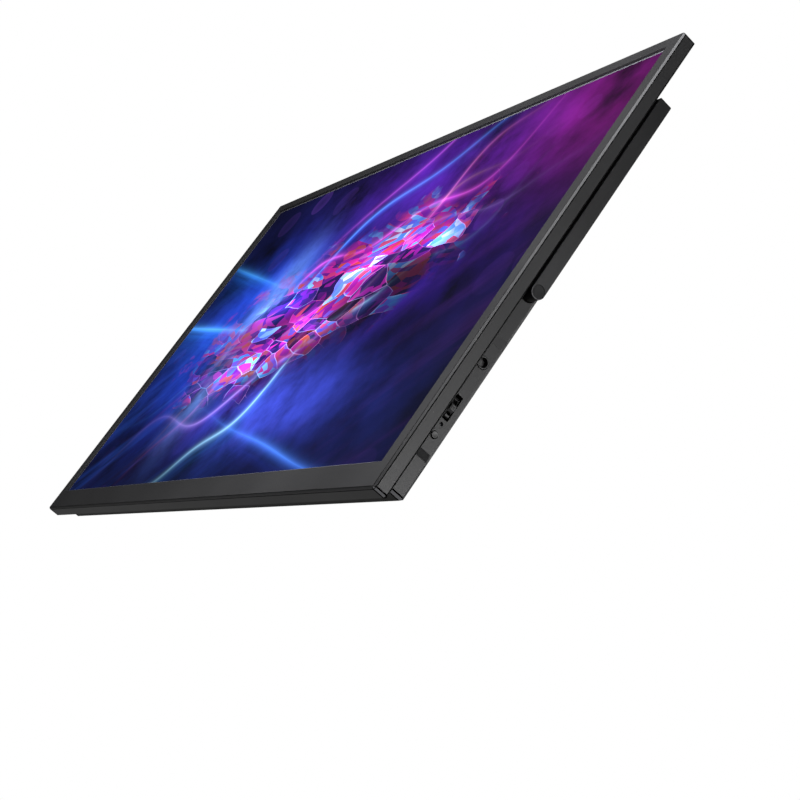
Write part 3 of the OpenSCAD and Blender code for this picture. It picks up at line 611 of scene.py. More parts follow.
def soft_discs():
    """Out-of-focus light discs, strewn by cells: bright inside a radius, a little brighter at the rim."""
    tree, w, given, out = effect(
        "soft discs",
        {"Vector": None, "Scale": 3.0, "Radius": 0.2},
        {"Mask": "Float"})
    values = {"Vector": given["Vector"], "Scale": given["Scale"], "Randomness": 0.9}
    cells = w.texture("Voronoi", values, voronoi_dimensions="2D")
    pick = w.node("ShaderNodeSeparateColor")
    w.feed(pick.inputs[0], cells.outputs["Color"])
    size = w.times(given["Radius"], w.span(pick.outputs[0], 0, 1, 0.35, 1.0))
    near = w.math("DIVIDE", cells.outputs["Distance"], size)
    disc = w.times(w.span(near, 1.0, 0.92, smooth=True), w.span(near, 0.0, 1.0, 0.45, 1.0))
    w.feed(out["Mask"], w.times(disc, w.span(pick.outputs[1], 0.35, 1.0)))
    return tree


def crystal_facets():
    """Straight-sided facets, one flat tone for each cell of a stretched cell pattern, with a bright line
    where two cells meet."""
    tree, w, given, out = effect(
        "crystal facets",
        {"Vector": None, "Scale": 6.0, "Line": 0.03},
        {"Tone": "Float", "Other tone": "Float", "Line": "Float"})
    swirl = w.vector("SUBTRACT", w.noise(given["Vector"], 1.4, output="Color"), (0.5, 0.5, 0.5))
    at = w.vector("ADD", given["Vector"], w.vector("SCALE", swirl, 0.55))
    values = {"Vector": at, "Scale": given["Scale"]}
    cells = w.texture("Voronoi", values, voronoi_dimensions="2D")
    edges = w.texture("Voronoi", values, voronoi_dimensions="2D", feature="DISTANCE_TO_EDGE")
    pick = w.node("ShaderNodeSeparateColor")
    w.feed(pick.inputs[0], cells.outputs["Color"])
    w.feed(out["Tone"], pick.outputs[0])
    w.feed(out["Other tone"], pick.outputs[1])
    w.feed(out["Line"], w.span(edges.outputs["Distance"], given["Line"], 0.0, smooth=True))
    return tree


GLOW = glow_spot()
VEIL = light_veil()
DISCS = soft_discs()
FACETS = crystal_facets()

# centre, reach, colour and power of the lights behind the veils; a unit is 100 mm, from the picture's middle
GLOWS = [
    ((-0.95, 0.00), (0.60, 0.58), (0.022, 0.085, 0.950), 1.00),
    ((-0.85, -0.10), (0.20, 0.46), (0.300, 0.600, 1.000), 1.10),
    ((-1.95, -0.15), (0.50, 0.60), (0.006, 0.020, 0.160), 0.90),
    ((0.35, 0.85), (0.95, 0.38), (0.090, 0.012, 0.400), 0.95),
    ((1.80, 0.95), (0.85, 0.50), (0.160, 0.002, 0.110), 1.00),
    ((1.05, 0.15), (0.75, 0.45), (0.028, 0.004, 0.250), 0.80),
    ((0.30, -0.72), (0.70, 0.24), (0.070, 0.110, 0.950), 1.00),
    ((1.35, -0.90), (0.80, 0.35), (0.003, 0.008, 0.075), 0.80),
]

# the same for the bright places of the crystal, which multiply its facets
GLINTS = [
    ((-0.62, -0.28), (0.24, 0.20), (0.500, 1.000, 1.200), 3.6),
    ((-0.10, -0.16), (0.20, 0.16), (0.900, 1.100, 1.200), 3.8),
    ((0.36, 0.16), (0.22, 0.12), (1.100, 0.700, 1.000), 2.4),
    ((0.72, -0.05), (0.14, 0.16), (0.900, 0.900, 1.200), 2.2),
    ((-0.22, 0.28), (0.16, 0.12), (0.300, 1.000, 1.400), 3.4),
]

# angle, offset, bend, waves, phase, width, middle, length, colour, crest, power
VEILS = [
    (-0.16, -0.18, 0.00, 1.0, 0.0, 0.09, -1.55, 0.80, (0.020, 0.220, 0.900), (0.20, 0.90, 2.20), 0.55),
    (-0.30, 0.02, 0.00, 1.0, 0.0, 0.10, -1.60, 0.70, (0.010, 0.140, 0.700), (0.10, 0.60, 1.60), 0.45),
    (0.62, 0.46, 0.16, 2.2, 0.4, 0.14, 0.10, 0.95, (0.010, 0.040, 0.500), (0.20, 0.70, 2.40), 0.55),
    (0.52, 0.28, 0.20, 2.6, 1.9, 0.11, 0.25, 0.85, (0.260, 0.006, 0.360), (2.40, 0.30, 2.20), 0.60),
    (0.70, 0.06, 0.15, 3.1, 3.3, 0.09, 0.15, 0.80, (0.560, 0.016, 0.280), (2.60, 0.60, 1.90), 0.60),
    (0.60, -0.10, 0.17, 2.9, 4.6, 0.08, 0.05, 0.70, (0.560, 0.080, 0.040), (2.20, 1.00, 0.50), 0.55),
    (0.46, -0.24, 0.19, 2.4, 5.7, 0.10, 0.00, 0.90, (0.120, 0.020, 0.560), (1.30, 0.80, 2.60), 0.60),
    (0.66, -0.48, 0.14, 3.3, 0.9, 0.08, -0.15, 0.75, (0.030, 0.240, 0.700), (0.90, 1.90, 2.60), 0.60),
    (-0.22, -0.80, 0.03, 1.7, 2.7, 0.07, 0.95, 0.85, (0.010, 0.030, 0.300), (0.15, 0.50, 2.00), 0.55),
    (0.78, 0.78, 0.12, 1.9, 3.9, 0.10, 0.75, 0.70, (0.090, 0.010, 0.260), (1.10, 0.20, 1.50), 0.35),
]


def shine(w, vector, lights, under):
    """The soft lights of a list, added one after the other to the colour under them."""
    for centre, reach, tint, power in lights:
        under = w.group(GLOW, Vector=vector, Centre=(*centre, 0), Reach=(*reach, 1), Colour=(*tint, 1),
                        Power=power, Under=under).outputs[0]
    return under


def picture_backdrop(w, flat, x, y):
    """Deep navy with glows broken up by a slow cloud, streaks that run up to the right, and soft discs."""
    streaks = w.noise(w.turned(flat, -0.55), 1.0, 4.0, 0.6, stretch=(0.55, 5.5, 1.0))
    streaks = w.span(streaks, 0.42, 0.75, smooth=True)
    cloud = w.span(w.noise(flat, 1.5, 5.0, 0.6), 0.32, 0.70, 0.06, 1.50)
    colour = w.vector("SCALE", shine(w, flat, GLOWS, (0.0022, 0.0025, 0.020, 1)), cloud)
    blue = w.times(w.span(x, 0.9, -1.6, 0.02, 0.22), w.span(y, 0.8, -0.2, 0.0, 1.0))
    violet = w.span(x, 0.4, 2.0, 0.0, 0.07)
    discs = w.group(DISCS, Vector=flat, Scale=2.6, Radius=0.34).outputs[0]
    high = w.span(y, -0.3, 1.0, 0.02, 0.14)
    for tint, mask, share in (((0.030, 0.120, 0.700), streaks, blue),
                              ((0.300, 0.030, 0.420), streaks, violet),
                              ((0.280, 0.100, 0.750), discs, high)):
        colour = w.vector("ADD", colour, w.vector("SCALE", tint, w.times(mask, share)))
    return colour


def crystal_burst(w, flat):
    """A ragged burst of crystal along the rising diagonal, as its mask and its colour. Large and small
    facets give the tone together, the large ones also which way they face, and bright places multiply the
    whole."""
    along = w.turned(flat, -0.62, (0.62, 1.35, 1.0))
    ragged = w.times(w.minus(w.noise(flat, 2.4, 4.0, 0.6), 0.5), 1.6)
    reach = w.vector("LENGTH", w.vector("MULTIPLY", along, (0.98, 1.45, 1.0)))
    inside = w.span(w.plus(reach, ragged), 1.02, 0.62)
    facet = w.group(FACETS, Vector=along, Scale=6.2, Line=0.035).outputs
    small = w.group(FACETS, Vector=along, Scale=19.0, Line=0.05).outputs
    tone = w.ramp(w.plus(w.times(facet["Tone"], 0.62), w.times(small["Tone"], 0.38)), [
        (0.00, (0.004, 0.003, 0.030)), (1.00, (0.75, 0.80, 1.00)), (0.30, (0.030, 0.010, 0.120)),
        (0.42, (0.220, 0.010, 0.300)), (0.52, (0.650, 0.020, 0.320)), (0.60, (0.600, 0.070, 0.030)),
        (0.70, (0.120, 0.080, 0.750)), (0.80, (0.080, 0.350, 0.900))])
    facing = w.plus(w.parts(along)[1], w.times(facet["Other tone"], 0.7))
    crystal = w.vector("SCALE", tone, w.span(facing, -0.15, 0.75, 0.15, 1.60))
    lines = w.mix(small["Other tone"], (0.20, 0.55, 1.00, 1), (1.00, 0.25, 0.75, 1))
    edge = w.times(facet["Line"], w.span(facet["Other tone"], 0.35, 1.0, 0.0, 0.9))
    crystal = w.vector("ADD", crystal, w.vector("SCALE", lines, edge))
    glints = shine(w, along, GLINTS, (0.62, 0.66, 0.70, 1))
    return w.times(inside, 0.94), w.vector("MULTIPLY", crystal, glints)


def screen_picture():
    """Film over the picture. Inside the picture's edges it shines by itself, with veils and glows of light
    in blue, violet and magenta under a burst of crystal. A pale line, a painted highlight, runs round the
    picture, and outside it the film is black."""
    material, w, shader, spot = finish_of("screen film", 0.42, specular=0.03, ior=1.45)
    across, _, up = w.parts(spot)
    x = w.times(across, 10.0)
    y = w.times(w.minus(up, PICTURE_MID*MM), 10.0)
    join = w.node("ShaderNodeCombineXYZ")
    w.feed(join.inputs[0], x)
    w.feed(join.inputs[1], y)
    flat = join.outputs[0]
    colour = picture_backdrop(w, flat, x, y)
    for angle, offset, bend, waves, phase, width, centre, length, tint, crest, power in VEILS:
        colour = w.group(VEIL, Vector=flat, Angle=angle, Offset=offset, Bend=bend, Waves=waves, Phase=phase,
                         Width=width, Middle=centre, Length=length, Colour=(*tint, 1), Crest=(*crest, 1),
                         Power=power, Under=colour).outputs[0]
    inside, crystal = crystal_burst(w, flat)
    colour = w.mix(inside, colour, crystal)

    def within(room):
        """1 inside the picture made larger by the room on each side, in millimetres."""
        half_x, half_y = PICTURE_X + room, (PICTURE_HIGH - PICTURE_LOW)/2 + room
        return w.times(w.math("LESS_THAN", w.math("ABSOLUTE", x), half_x/100),
                      w.math("LESS_THAN", w.math("ABSOLUTE", y), half_y/100))

    lit = within(0)
    w.feed(shader.inputs["Emission Color"], w.vector("SCALE", colour, lit))
    shader.inputs["Emission Strength"].default_value = 1.0
    film = w.mix(w.noise(spot, 18.0, 3.0), (0.0015, 0.0015, 0.002, 1), (0.003, 0.003, 0.004, 1))
    # painted highlight: the pale line round the picture
    pale = w.mix(w.noise(spot, 60.0, 3.0), (0.075, 0.075, 0.086, 1), (0.095, 0.095, 0.108, 1))
    border = w.mix(within(1.1), (0.012, 0.012, 0.013, 1), pale)
    w.feed(shader.inputs["Base Color"], w.mix(lit, border, film))
    sparkle = w.noise(spot, 5000.0, 1.0)
    wiped = w.times(w.group(MARKS, Vector=spot, Streaks=0.5, Specks=0.15).outputs["Smear"], -0.04)
    w.feed(shader.inputs["Roughness"], w.plus(w.span(sparkle, 0.3, 0.7, 0.39, 0.45), wiped))
    bump(w, shader, w.times(sparkle, lit), 0.001*MM)
    return material


LOOKS = {
    "bezel": plastic("bezel plastic", (0.022, 0.022, 0.023), 0.50, specular=0.36, seams_and_painted_light=True),
    "shell": plastic("shell plastic", (0.014, 0.014, 0.015), 0.46, specular=0.46, seams_and_painted_light=True),
    "bay": plastic("bay plastic", (0.013, 0.013, 0.014), 0.44, specular=0.46, seams_and_painted_light=True),
    "stand": plastic("stand coat", (0.014, 0.014, 0.015), 0.42, grain=0.22*MM, depth=0.003*MM, specular=0.40,
                     seams_and_painted_light=True),
    "cap": plastic("cap plastic", (0.008, 0.008, 0.009), 0.50, grain=0.25*MM, specular=0.25),
    "button": plastic("button plastic", (0.030, 0.030, 0.031), 0.42, grain=0.2*MM, depth=0.003*MM,
                      seams_and_painted_light=True),
    "switch": plastic("switch plastic", (0.10, 0.10, 0.105), 0.45, grain=0.25*MM),
    "jack": plastic("jack plastic", (0.032, 0.032, 0.033), 0.34, grain=0.2*MM, depth=0.002*MM, seams_and_painted_light=True),
    "speaker": plastic("speaker plastic", (0.040, 0.040, 0.042), 0.55),
    "rubber": plastic("pad rubber", (0.015, 0.015, 0.015), 0.75, grain=0.3*MM, specular=0.3),
    "foam": plastic("foam tape", (0.030, 0.030, 0.030), 0.9, grain=0.6*MM, depth=0.03*MM, specular=0.2),
    "lens": plastic("light lens", (0.012, 0.013, 0.016), 0.25, grain=0.3*MM, depth=0.001*MM, specular=0.2),
    "ink": plastic("pale ink", (0.42, 0.42, 0.43), 0.55, grain=0.15*MM, depth=0.001*MM, specular=0.3,
                   specks=0.1),
    "port": metal("port metal", (0.78, 0.78, 0.79), 0.22, stretch=(4.0, 40.0, 40.0)),
    "gold": metal("contact gold", (0.90, 0.66, 0.28), 0.25, stretch=(4.0, 40.0, 40.0)),
    "hinge": metal("hinge steel", (0.58, 0.59, 0.61), 0.30),
    "screw": metal("screw steel", (0.16, 0.16, 0.17), 0.35),
    "chassis": metal("chassis metal", (0.70, 0.71, 0.73), 0.35),
    "brass": metal("insert brass", (0.78, 0.58, 0.26), 0.28, stretch=(40.0, 1.0, 40.0)),
    "board": board_mask(),
    "ribbon": striped("ribbon cable", (0.72, 0.72, 0.70), (0.45, 0.42, 0.36), 1.0*MM, 2),
    "wire": striped("wire sleeve", (0.07, 0.07, 0.075), (0.02, 0.02, 0.022), 0.7*MM, 2),
    "lamps": striped("light strip", (0.95, 0.90, 0.66), (0.80, 0.72, 0.40), 10.45*MM, 0),
    "films": sheet_stock("diffuser films", (0.88, 0.88, 0.86), 0.5),
    "guide": sheet_stock("light guide", (0.80, 0.88, 0.92), 0.2),
    "reflector": sheet_stock("reflector sheet", (0.90, 0.90, 0.90), 0.4),
    "glass": sheet_stock("cell glass", (0.06, 0.06, 0.07), 0.15),
    "screen": screen_picture(),
}

LOOK_NODES = {
    "screen": ["screen_film"], "glass": ["lcd_cell"], "films": ["optical_films"], "guide": ["light_guide"],
    "lamps": ["led_strip"], "reflector": ["reflector_sheet"], "chassis": ["panel_chassis"],
    "foam": ["mounting_tape"], "board": ["driver_board", "main_board", "key_board"],
    "switch": ["power_switch", "jog_switch", "jog_slider"], "lens": ["status_light"],
    "speaker": ["speaker_left", "speaker_right"], "ribbon": ["panel_cable", "key_cable"],
    "wire": ["speaker_cables"], "screw": ["board_screws", "bracket_screws", "cover_screws"],
    "hinge": ["hinge_bracket_left", "hinge_bracket_right", "hinge_pin_left", "hinge_pin_right",
              "friction_washers_left", "friction_washers_right", "hinge_nuts"],
    "bezel": ["front_bezel"], "shell": ["rear_shell"], "bay": ["bay_cover"], "stand": ["stand_frame"],
    "brass": ["wall_mount_inserts"], "port": ["usb_c_port_upper", "usb_c_port_lower", "mini_hdmi_port"],
    "jack": ["headphone_jack"], "button": ["power_button", "jog_lever"], "rubber": ["stand_pads"],
    "cap": ["pivot_cap_left", "pivot_cap_right"],
}
for look, names in LOOK_NODES.items():
    for node_name in names:
        data = NODES[node_name].data
        data.materials.clear()
        data.materials.append(LOOKS[look])


# ---- Pieces ------------------------------------------------------------------------------

# painted highlight: the tone that paints the corners' cut faces pale
CUT_FACE_HIGHLIGHT = -8.0               # tone of the cut faces
# painted shade: how much darker the hollow's two slopes are painted
SLOPE_SHADES = 0.30, 0.75       # tone of the lower and the upper slope of the hollow for the controls
# the tone of a cut corner's points: a dark arc of painted shade at each end of the cut face, which lies
# between them and is painted pale as a highlight
TO_CUT, FROM_CUT = [0, 1, 1, 1, 1, 1, CUT_FACE_HIGHLIGHT], [CUT_FACE_HIGHLIGHT, 1, 1, 1, 1, 1, 0]
PANEL_EDGES = np.array((FROM_CUT + TO_CUT)*4)


def eased_cut(cut, inset):
    """How much of a corner's cut is left when the sides are drawn in, and the radius at its two ends."""
    left = max(0.07, cut - 2*inset)
    return left, min(0.9, 0.75*left)


def panel_outline(inset):
    """Outline of the panel, its sides drawn in by the inset. The corners' cuts stay where they are."""
    cut, radius = eased_cut(CUT, inset)
    return rounded(cut_rectangle(-PANEL_X + inset, PANEL_X - inset, inset, PANEL_TOP - inset, cut), radius,
                   closed=True)[0]


def bay_outline(inset):
    """Outline of the bay, its sides drawn in by the inset. The hollow for the controls keeps its floor."""
    cut, radius = eased_cut(BAY_CUT, inset)
    x, low, high = BAY_X - inset, BAY_LOW + inset, BAY_TOP - inset
    floor, start = min(RECESS_X, x - 0.004), min(inset, 1.2)*RECESS_SLOPE/RECESS_DEPTH
    corners = [(-x + cut, low), (x - cut, low), (x, low + cut),
               (x, RECESS_LOW + start), (floor, RECESS_LOW + RECESS_SLOPE),
               (floor, RECESS_HIGH - RECESS_SLOPE), (x, RECESS_HIGH - start),
               (x, high - cut), (x - cut, high), (-x + cut, high), (-x, high - cut), (-x, low + cut)]
    return rounded(corners, [radius]*3 + [0.3]*4 + [radius]*5, closed=True)[0]


def front_frame():
    """Bezel, as rings: up the opening's inner wall from the film, over its eased edge, out across the flat
    face, over the chamfer with a fine line on each side, round the parting line, and back inside to the
    first ring. The inner wall is painted a little pale as a highlight; the chamfer's front line is painted
    shade and its back line is the black parting line; the chamfer is painted darker, and paler towards the
    top on the right as a painted highlight; the corners get painted dark arcs and pale cut faces."""
    opening = cut_rectangle(-OPENING_X, OPENING_X, OPENING_LOW, OPENING_HIGH, 0.12)
    inner, inner_out = rounded(opening, 0.04, closed=True)
    rings, tone = [], []
    lip_edge = rounded([(0, SCREEN_Y - HOLD), (0, FRONT_Y), (2, FRONT_Y)], 0.12, 3)[0][:-1]
    for a, y in [(0, SCREEN_Y), *lip_edge]:
        rings.append(lay(FRONT, inner + a*inner_out, y))
        # painted highlight: the opening's inner wall is painted a little pale
        tone.append(np.full(len(inner), -0.4 if y > FRONT_Y + 0.1 else 0))
    edge = rounded([(-2, FRONT_Y), (-1, FRONT_Y), (-0.8, FRONT_Y + 0.2), (-0.785, FRONT_Y + 0.215),
                    (-0.65, FRONT_Y + 0.35), (0, FRONT_Y + 1), (0, FRONT_Y + 1.06), (-0.4, FRONT_Y + 1.06),
                    (-0.4, SCREEN_Y), (-2, SCREEN_Y)], [0, 0.1, 0, 0, 0, 0.03, 0.02, 0.02, 0.02, 0])[0][1:-1]
    for a, y in edge:
        ring = lay(FRONT, panel_outline(-a), y)
        rings.append(ring)
        # painted shade and highlight: the chamfer is painted darker, and on the right it is painted paler
        # towards the top as a highlight while its painted shade line fades
        rise = np.clip(ring[:, 2]/PANEL_TOP, 0, 1)**1.7*(ring[:, 0] > 0)
        line = 0.8*(1 - rise)*(-1.05 < a < -0.79 and y < FRONT_Y + 0.21) + 1.0*(y > FRONT_Y + 0.985)
        strip = (0.45 - 4.1*rise)*(-0.79 < a < -0.015)
        # painted dark arcs and pale cut faces at the corners, on the side
        edges = PANEL_EDGES*(y > FRONT_Y + 0.3)
        tone.append(line if line.any() else np.where(edges != 0, edges, strip))
    made = Surface()
    made.stack(rings + rings[:1], tone + tone[:1])
    made.make("case_front", "monitor", "bezel_plastic", LOOKS["bezel"], "front_bezel")


def rear_case():
    """Tray behind the bezel: inside floor, side walls, parting line, outer side, dark edge and back. The dark
    edge is painted shade beside the bay, and the corners get painted dark arcs and pale cut faces.
    """
    inside = np.clip(panel_outline(0), (-FLAT_X, FLAT_LOW - 1), (FLAT_X, FLAT_HIGH + 1))
    edge = rounded([(-1.6, BACK_Y - 1.4), (-1.6, SCREEN_Y + 0.03), (-0.4, SCREEN_Y + 0.03),
                    (-0.4, SCREEN_Y + 0.2), (0, SCREEN_Y + 0.2), (0, BACK_Y - 0.82 - HOLD),
                    (0, BACK_Y - 0.82), (0, BACK_Y - 0.5), (-0.5, BACK_Y), (-0.8, BACK_Y),
                    (-0.8 - HOLD, BACK_Y), (-2, BACK_Y)],
                   [0.2, 0.05, 0.02, 0.02, 0.06, 0, 0, 0.15, 0.15, 0, 0, 0])[0]
    rings, tone = [lay(FRONT, inside, BACK_Y - 1.4)], [np.zeros(len(inside))]
    for a, y in edge:
        rings.append(lay(FRONT, panel_outline(-a), y))
        # the parting line behind the bezel is black; painted shade darkens the back edge beside the bay; the
        # corners get painted dark arcs and pale cut faces
        dark = a < -0.02 and y < SCREEN_Y + 0.2 or y > BACK_Y - 0.83 and a > -0.805
        tone.append(np.ones(len(inside)) if dark else PANEL_EDGES*(a > -0.6))
    rings.append(lay(FRONT, inside, BACK_Y))
    tone.append(np.zeros(len(inside)))
    made = Surface()
    made.stack(rings, tone)
    made.caps(rings[0], rings[-1])
    made.make("case_back", "monitor", "shell_plastic", LOOKS["shell"], "rear_shell")


def hinge_seat():
    """Round hollow behind an arm's end: its outline kept inside the wall, its floor, and the pin's hole."""
    path, normals = circle(PIVOT_Z, PIVOT_Y, ARM_R + 0.4, 64)
    path[:, 1] = np.clip(path[:, 1], BACK_Y + 0.02, BAY_Y - 1.52)
    pin = np.array([PIVOT_Z, PIVOT_Y]) + 2.3*normals
    return path, normals, lip(0.06, SEAT_DEPTH), (pin, SEAT_DEPTH), (pin, 2.6)


def bay_housing():
    """Housing of the electronics: side walls and chamfer carried round the outline with its hollow for the
    controls, flat sheets with the windows, and the back with the four sunk mouths."""
    path = bay_outline(0)
    edge = rounded([(0, BACK_Y - 1), (0, BACK_Y), (0, BAY_Y - 1.4), (-1.4, BAY_Y), (-4, BAY_Y)],
                   [0, 0, 0.2, 0.2, 0])[0][1:-1]
    rings = [lay(FRONT, bay_outline(-a), y) for a, y in edge]
    flat = np.clip(path, (-FLAT_X, FLAT_LOW), (FLAT_X, FLAT_HIGH))
    rings.append(lay(FRONT, flat, BAY_Y))
    # painted shade and highlight: dark arcs at the edges of the cut corners, whose cut faces are painted
    # pale, and the hollow's two slopes painted a little darker than their floor
    slopes = [[0]*3 + [t]*8 + [0]*3 for t in SLOPE_SHADES]
    tone = np.array(FROM_CUT + TO_CUT + FROM_CUT + slopes[0] + slopes[1] + (TO_CUT + FROM_CUT)*2 + TO_CUT)
    tone = np.stack([tone*(a > -0.8) for a, y in edge] + [0*tone])

    def window_strip(j, i):
        """The flat walls with windows: the hollow's floor, the wall above it and the far side's wall."""
        k = (i + 1) % len(path)
        floor, wall, left = (np.maximum(np.abs(path[i, 0] - x), np.abs(path[k, 0] - x)) < 1e-6
                             for x in (RECESS_X, BAY_X, -BAY_X))
        upper = wall & (path[i, 1] > RECESS_HIGH - 1)
        return (j == 0) & (floor | upper | left) & (np.abs(path[i, 1] - path[k, 1]) > 1)

    made = Surface()
    made.stack(rings, tone, skip=window_strip)

    def strip(x, z_middle):
        """The left-out wall at x round z_middle, as its lowest and highest z and its height in y."""
        side = np.abs(path[:, 0] - x) < 1e-6
        z = path[side, 1]
        z0, z1 = z[z < z_middle].max(), z[z > z_middle].min()
        return z0, z1, rings[1][np.flatnonzero(side & (path[:, 1] == z1))[0], 1]

    z0, z1, top = strip(RECESS_X, LEVER_Z)
    # painted shade: the walls of the control windows are painted black
    made.holed(WALL, RECESS_X, -1, (z0, BACK_Y), (z1, top), [
        (*circle(middle("power_button")[2], CONTROL_Y, BUTTON_HOLE_R, 40), lip(0.08, 2.0)),
        (*circle(middle("status_light")[2], CONTROL_Y, LIGHT_HOLE_R, 24), lip(0.08, 2.0)),
        (*oblong(LEVER_Z, CONTROL_Y, LEVER_HOLE_L, LEVER_HOLE_W, 0.35, 4), lip(0.12, 2.0)),
        (*circle(middle("headphone_jack")[2], CONTROL_Y, JACK_HOLE_R, 48), lip(0.14, 2.0))], 1.0)
    z0, z1, top = strip(BAY_X, PIVOT_Z)
    # painted shade: the arm's seat and the pin's hole are painted nearly black
    made.holed(WALL, BAY_X, -1, (z0, BACK_Y), (z1, top), [hinge_seat()], 0.9)
    windows = [video_outline(middle("mini_hdmi_port")[2], PORT_ROOM),
               data_outline(middle("usb_c_port_lower")[2], PORT_ROOM),
               data_outline(middle("usb_c_port_upper")[2], PORT_ROOM)]
    z0, z1, top = strip(-BAY_X, PIVOT_Z)
    made.holed(WALL, -BAY_X, 1, (z0, BACK_Y), (z1, top), [
        *[(*window, lip(0.15, 1.8)) for window in windows], hinge_seat()])
    # the back, with a sunk mouth round each wall-mount hole
    for z, low, high in ((MOUNT_Z[0], FLAT_LOW, FLAT_MID), (MOUNT_Z[1], FLAT_MID, FLAT_HIGH)):
        holes = []
        for x in MOUNT_X:
            mouth, normals = circle(x, z, MOUTH_R, 64)
            hole = np.array([x, z]) + INSERT_HOLE_R*normals
            holes.append((mouth, normals, lip(0.25, MOUTH_DEPTH), (hole, MOUTH_DEPTH), (hole, 6.5)))
        made.holed(FRONT, BAY_Y, -1, (-FLAT_X, low), (FLAT_X, high), holes)
    made.make("bay_housing", "monitor", "shell_plastic", LOOKS["bay"], "bay_cover")


def data_outline(z, room=0.0):
    """Outline of a data port about its middle, made larger by the room: a slot with round ends."""
    wide = DATA_PORT_W + room
    return oblong(z, PORT_Y, DATA_PORT_L + room, wide, wide/2, 10)


def video_outline(z, room=0.0):
    """Outline of the video port about its middle, made larger by the room: two corners are cut wide."""
    wide = VIDEO_PORT_W + room
    a, b, c = (VIDEO_PORT_L + room)/2, wide/2, 0.4*wide
    return rounded([(z - a + c, PORT_Y - b), (z + a - c, PORT_Y - b), (z + a, PORT_Y - b + c),
                    (z + a, PORT_Y + b - 0.4), (z + a - 0.4, PORT_Y + b), (z - a + 0.4, PORT_Y + b),
                    (z - a, PORT_Y + b - 0.4), (z - a, PORT_Y - b + c)], 0.2, 3, closed=True)


def port(name, node, outline, mouth, depth, tongue_w, tongue_t, pins):
    """A port: its metal shell, which is its outline carried along X, out at the back wall, over the rolled
    lip's half round and in at 0.3; the tongue with a collar at its root; and the tongue's two rows of
    contacts."""
    z = middle(node)[2]
    shell = Surface()
    lips = [(-0.15 + 0.15*np.cos(t), mouth + 0.15 - 0.15*np.sin(t)) for t in np.linspace(0, np.pi, 7)]
    shell.sweep(WALL, *outline(z), [(0, mouth + depth), *lips, (-0.3, mouth + depth - 0.5)])
    shell.make(name + "_shell", "monitor", "port_metal", LOOKS["port"], node)
    tongue = Surface()
    for x, room_y, room_z in ((mouth + 0.7, 0, 0), (mouth + depth - 2.2, 0.35, 0.5)):
        half_y, half_z = tongue_t/2 + room_y, tongue_w/2 + room_z
        tongue.block((x, PORT_Y - half_y, z - half_z),
                     (mouth + depth - 0.4, PORT_Y + half_y, z + half_z), 0.12)
    tongue.make(name + "_tongue", "monitor", "jack_plastic", LOOKS["jack"])
    contacts = Surface()
    pitch = (tongue_w - 1.1)/(pins - 1)
    for k in range(pins):
        at = z + (k - (pins - 1)/2)*pitch
        for side in (-1, 1):
            y = PORT_Y + side*(tongue_t/2 + 0.01)
            contacts.block((mouth + 1.1, y - 0.03, at - 0.27*pitch),
                           (mouth + depth - 2.3, y + 0.03, at + 0.27*pitch), 0.02)
    contacts.make(name + "_contacts", "monitor", "brass", LOOKS["gold"])


def ports():
    """The two data ports and the video port."""
    for name, node in (("data_port_upper", "usb_c_port_upper"), ("data_port_lower", "usb_c_port_lower")):
        port(name, node, data_outline, -BAY_X + 0.2, 7.3, 6.7, 0.7, 12)
    port("video_port", "mini_hdmi_port", video_outline, -BAY_X + 0.1, 7.5, 8.0, 0.8, 10)


def audio_jack():
    """Headphone jack: collar with an eased mouth, a bore with two spring rings, and the body behind."""
    low, high = box_of("headphone_jack")
    z, x0, x1 = middle("headphone_jack")[2], low[0], high[0]
    edge = rounded([(2.75, x1 - 2.0), (2.75, x1), (2.2, x1), (1.82, x1 - 0.3), (1.82, x1 - 3.0),
                    (1.68, x1 - 3.2), (1.68, x1 - 3.6), (1.82, x1 - 3.8), (1.82, x1 - 8.0),
                    (1.55, x1 - 8.3), (1.55, x1 - 8.8), (1.82, x1 - 9.1), (1.82, x0 + 1.0),
                    (0.02, x0 + 1.0)], [0, 0.14, *[0.06]*12], 3)[0]
    made = Surface()
    # painted shade: the bore and the collar's eased edge are painted black, and only the collar's face keeps
    # its colour
    made.turn(WALL, z, CONTROL_Y, edge, 48, [0.0 if h > x1 - 0.01 and r > 2.1 else 1.0 for r, h in edge])
    made.block((x0, low[1], z - 3.1), (x1 - 2.1, high[1], z + 3.1), 0.3)
    made.make("audio_jack", "monitor", "jack_plastic", LOOKS["jack"], "headphone_jack")


def power_key():
    """Round button: a dished face, an eased rim, the flange behind the wall and the stem."""
    low, high = box_of("power_button")
    z, x0, x1 = middle("power_button")[2], low[0], high[0]
    flange = high[2] - z
    rim = rounded([(1.1, x0), (1.1, x1 - 3.4), (flange, x1 - 3.4), (flange, x1 - 2.8), (1.4, x1 - 2.8),
                   (1.4, x1), (1.15, x1)], [0, 0.05, 0.05, 0.05, 0.05, 0.12, 0], 4)[0]
    dish = [(r, x1 - 0.06 + 0.06*(r/1.15)**2) for r in np.linspace(1.15, 0.02, 8)]
    edge = [(0.02, x0), *rim[:-1], *dish]
    made = Surface()
    # painted shade: the button's side below its face is painted black
    made.turn(WALL, z, CONTROL_Y, edge, 48, [1.0 if h < x1 - 0.11 else 0.0 for r, h in edge])
    made.make("power_key", "power_button", "button_plastic", LOOKS["button"], "power_button")


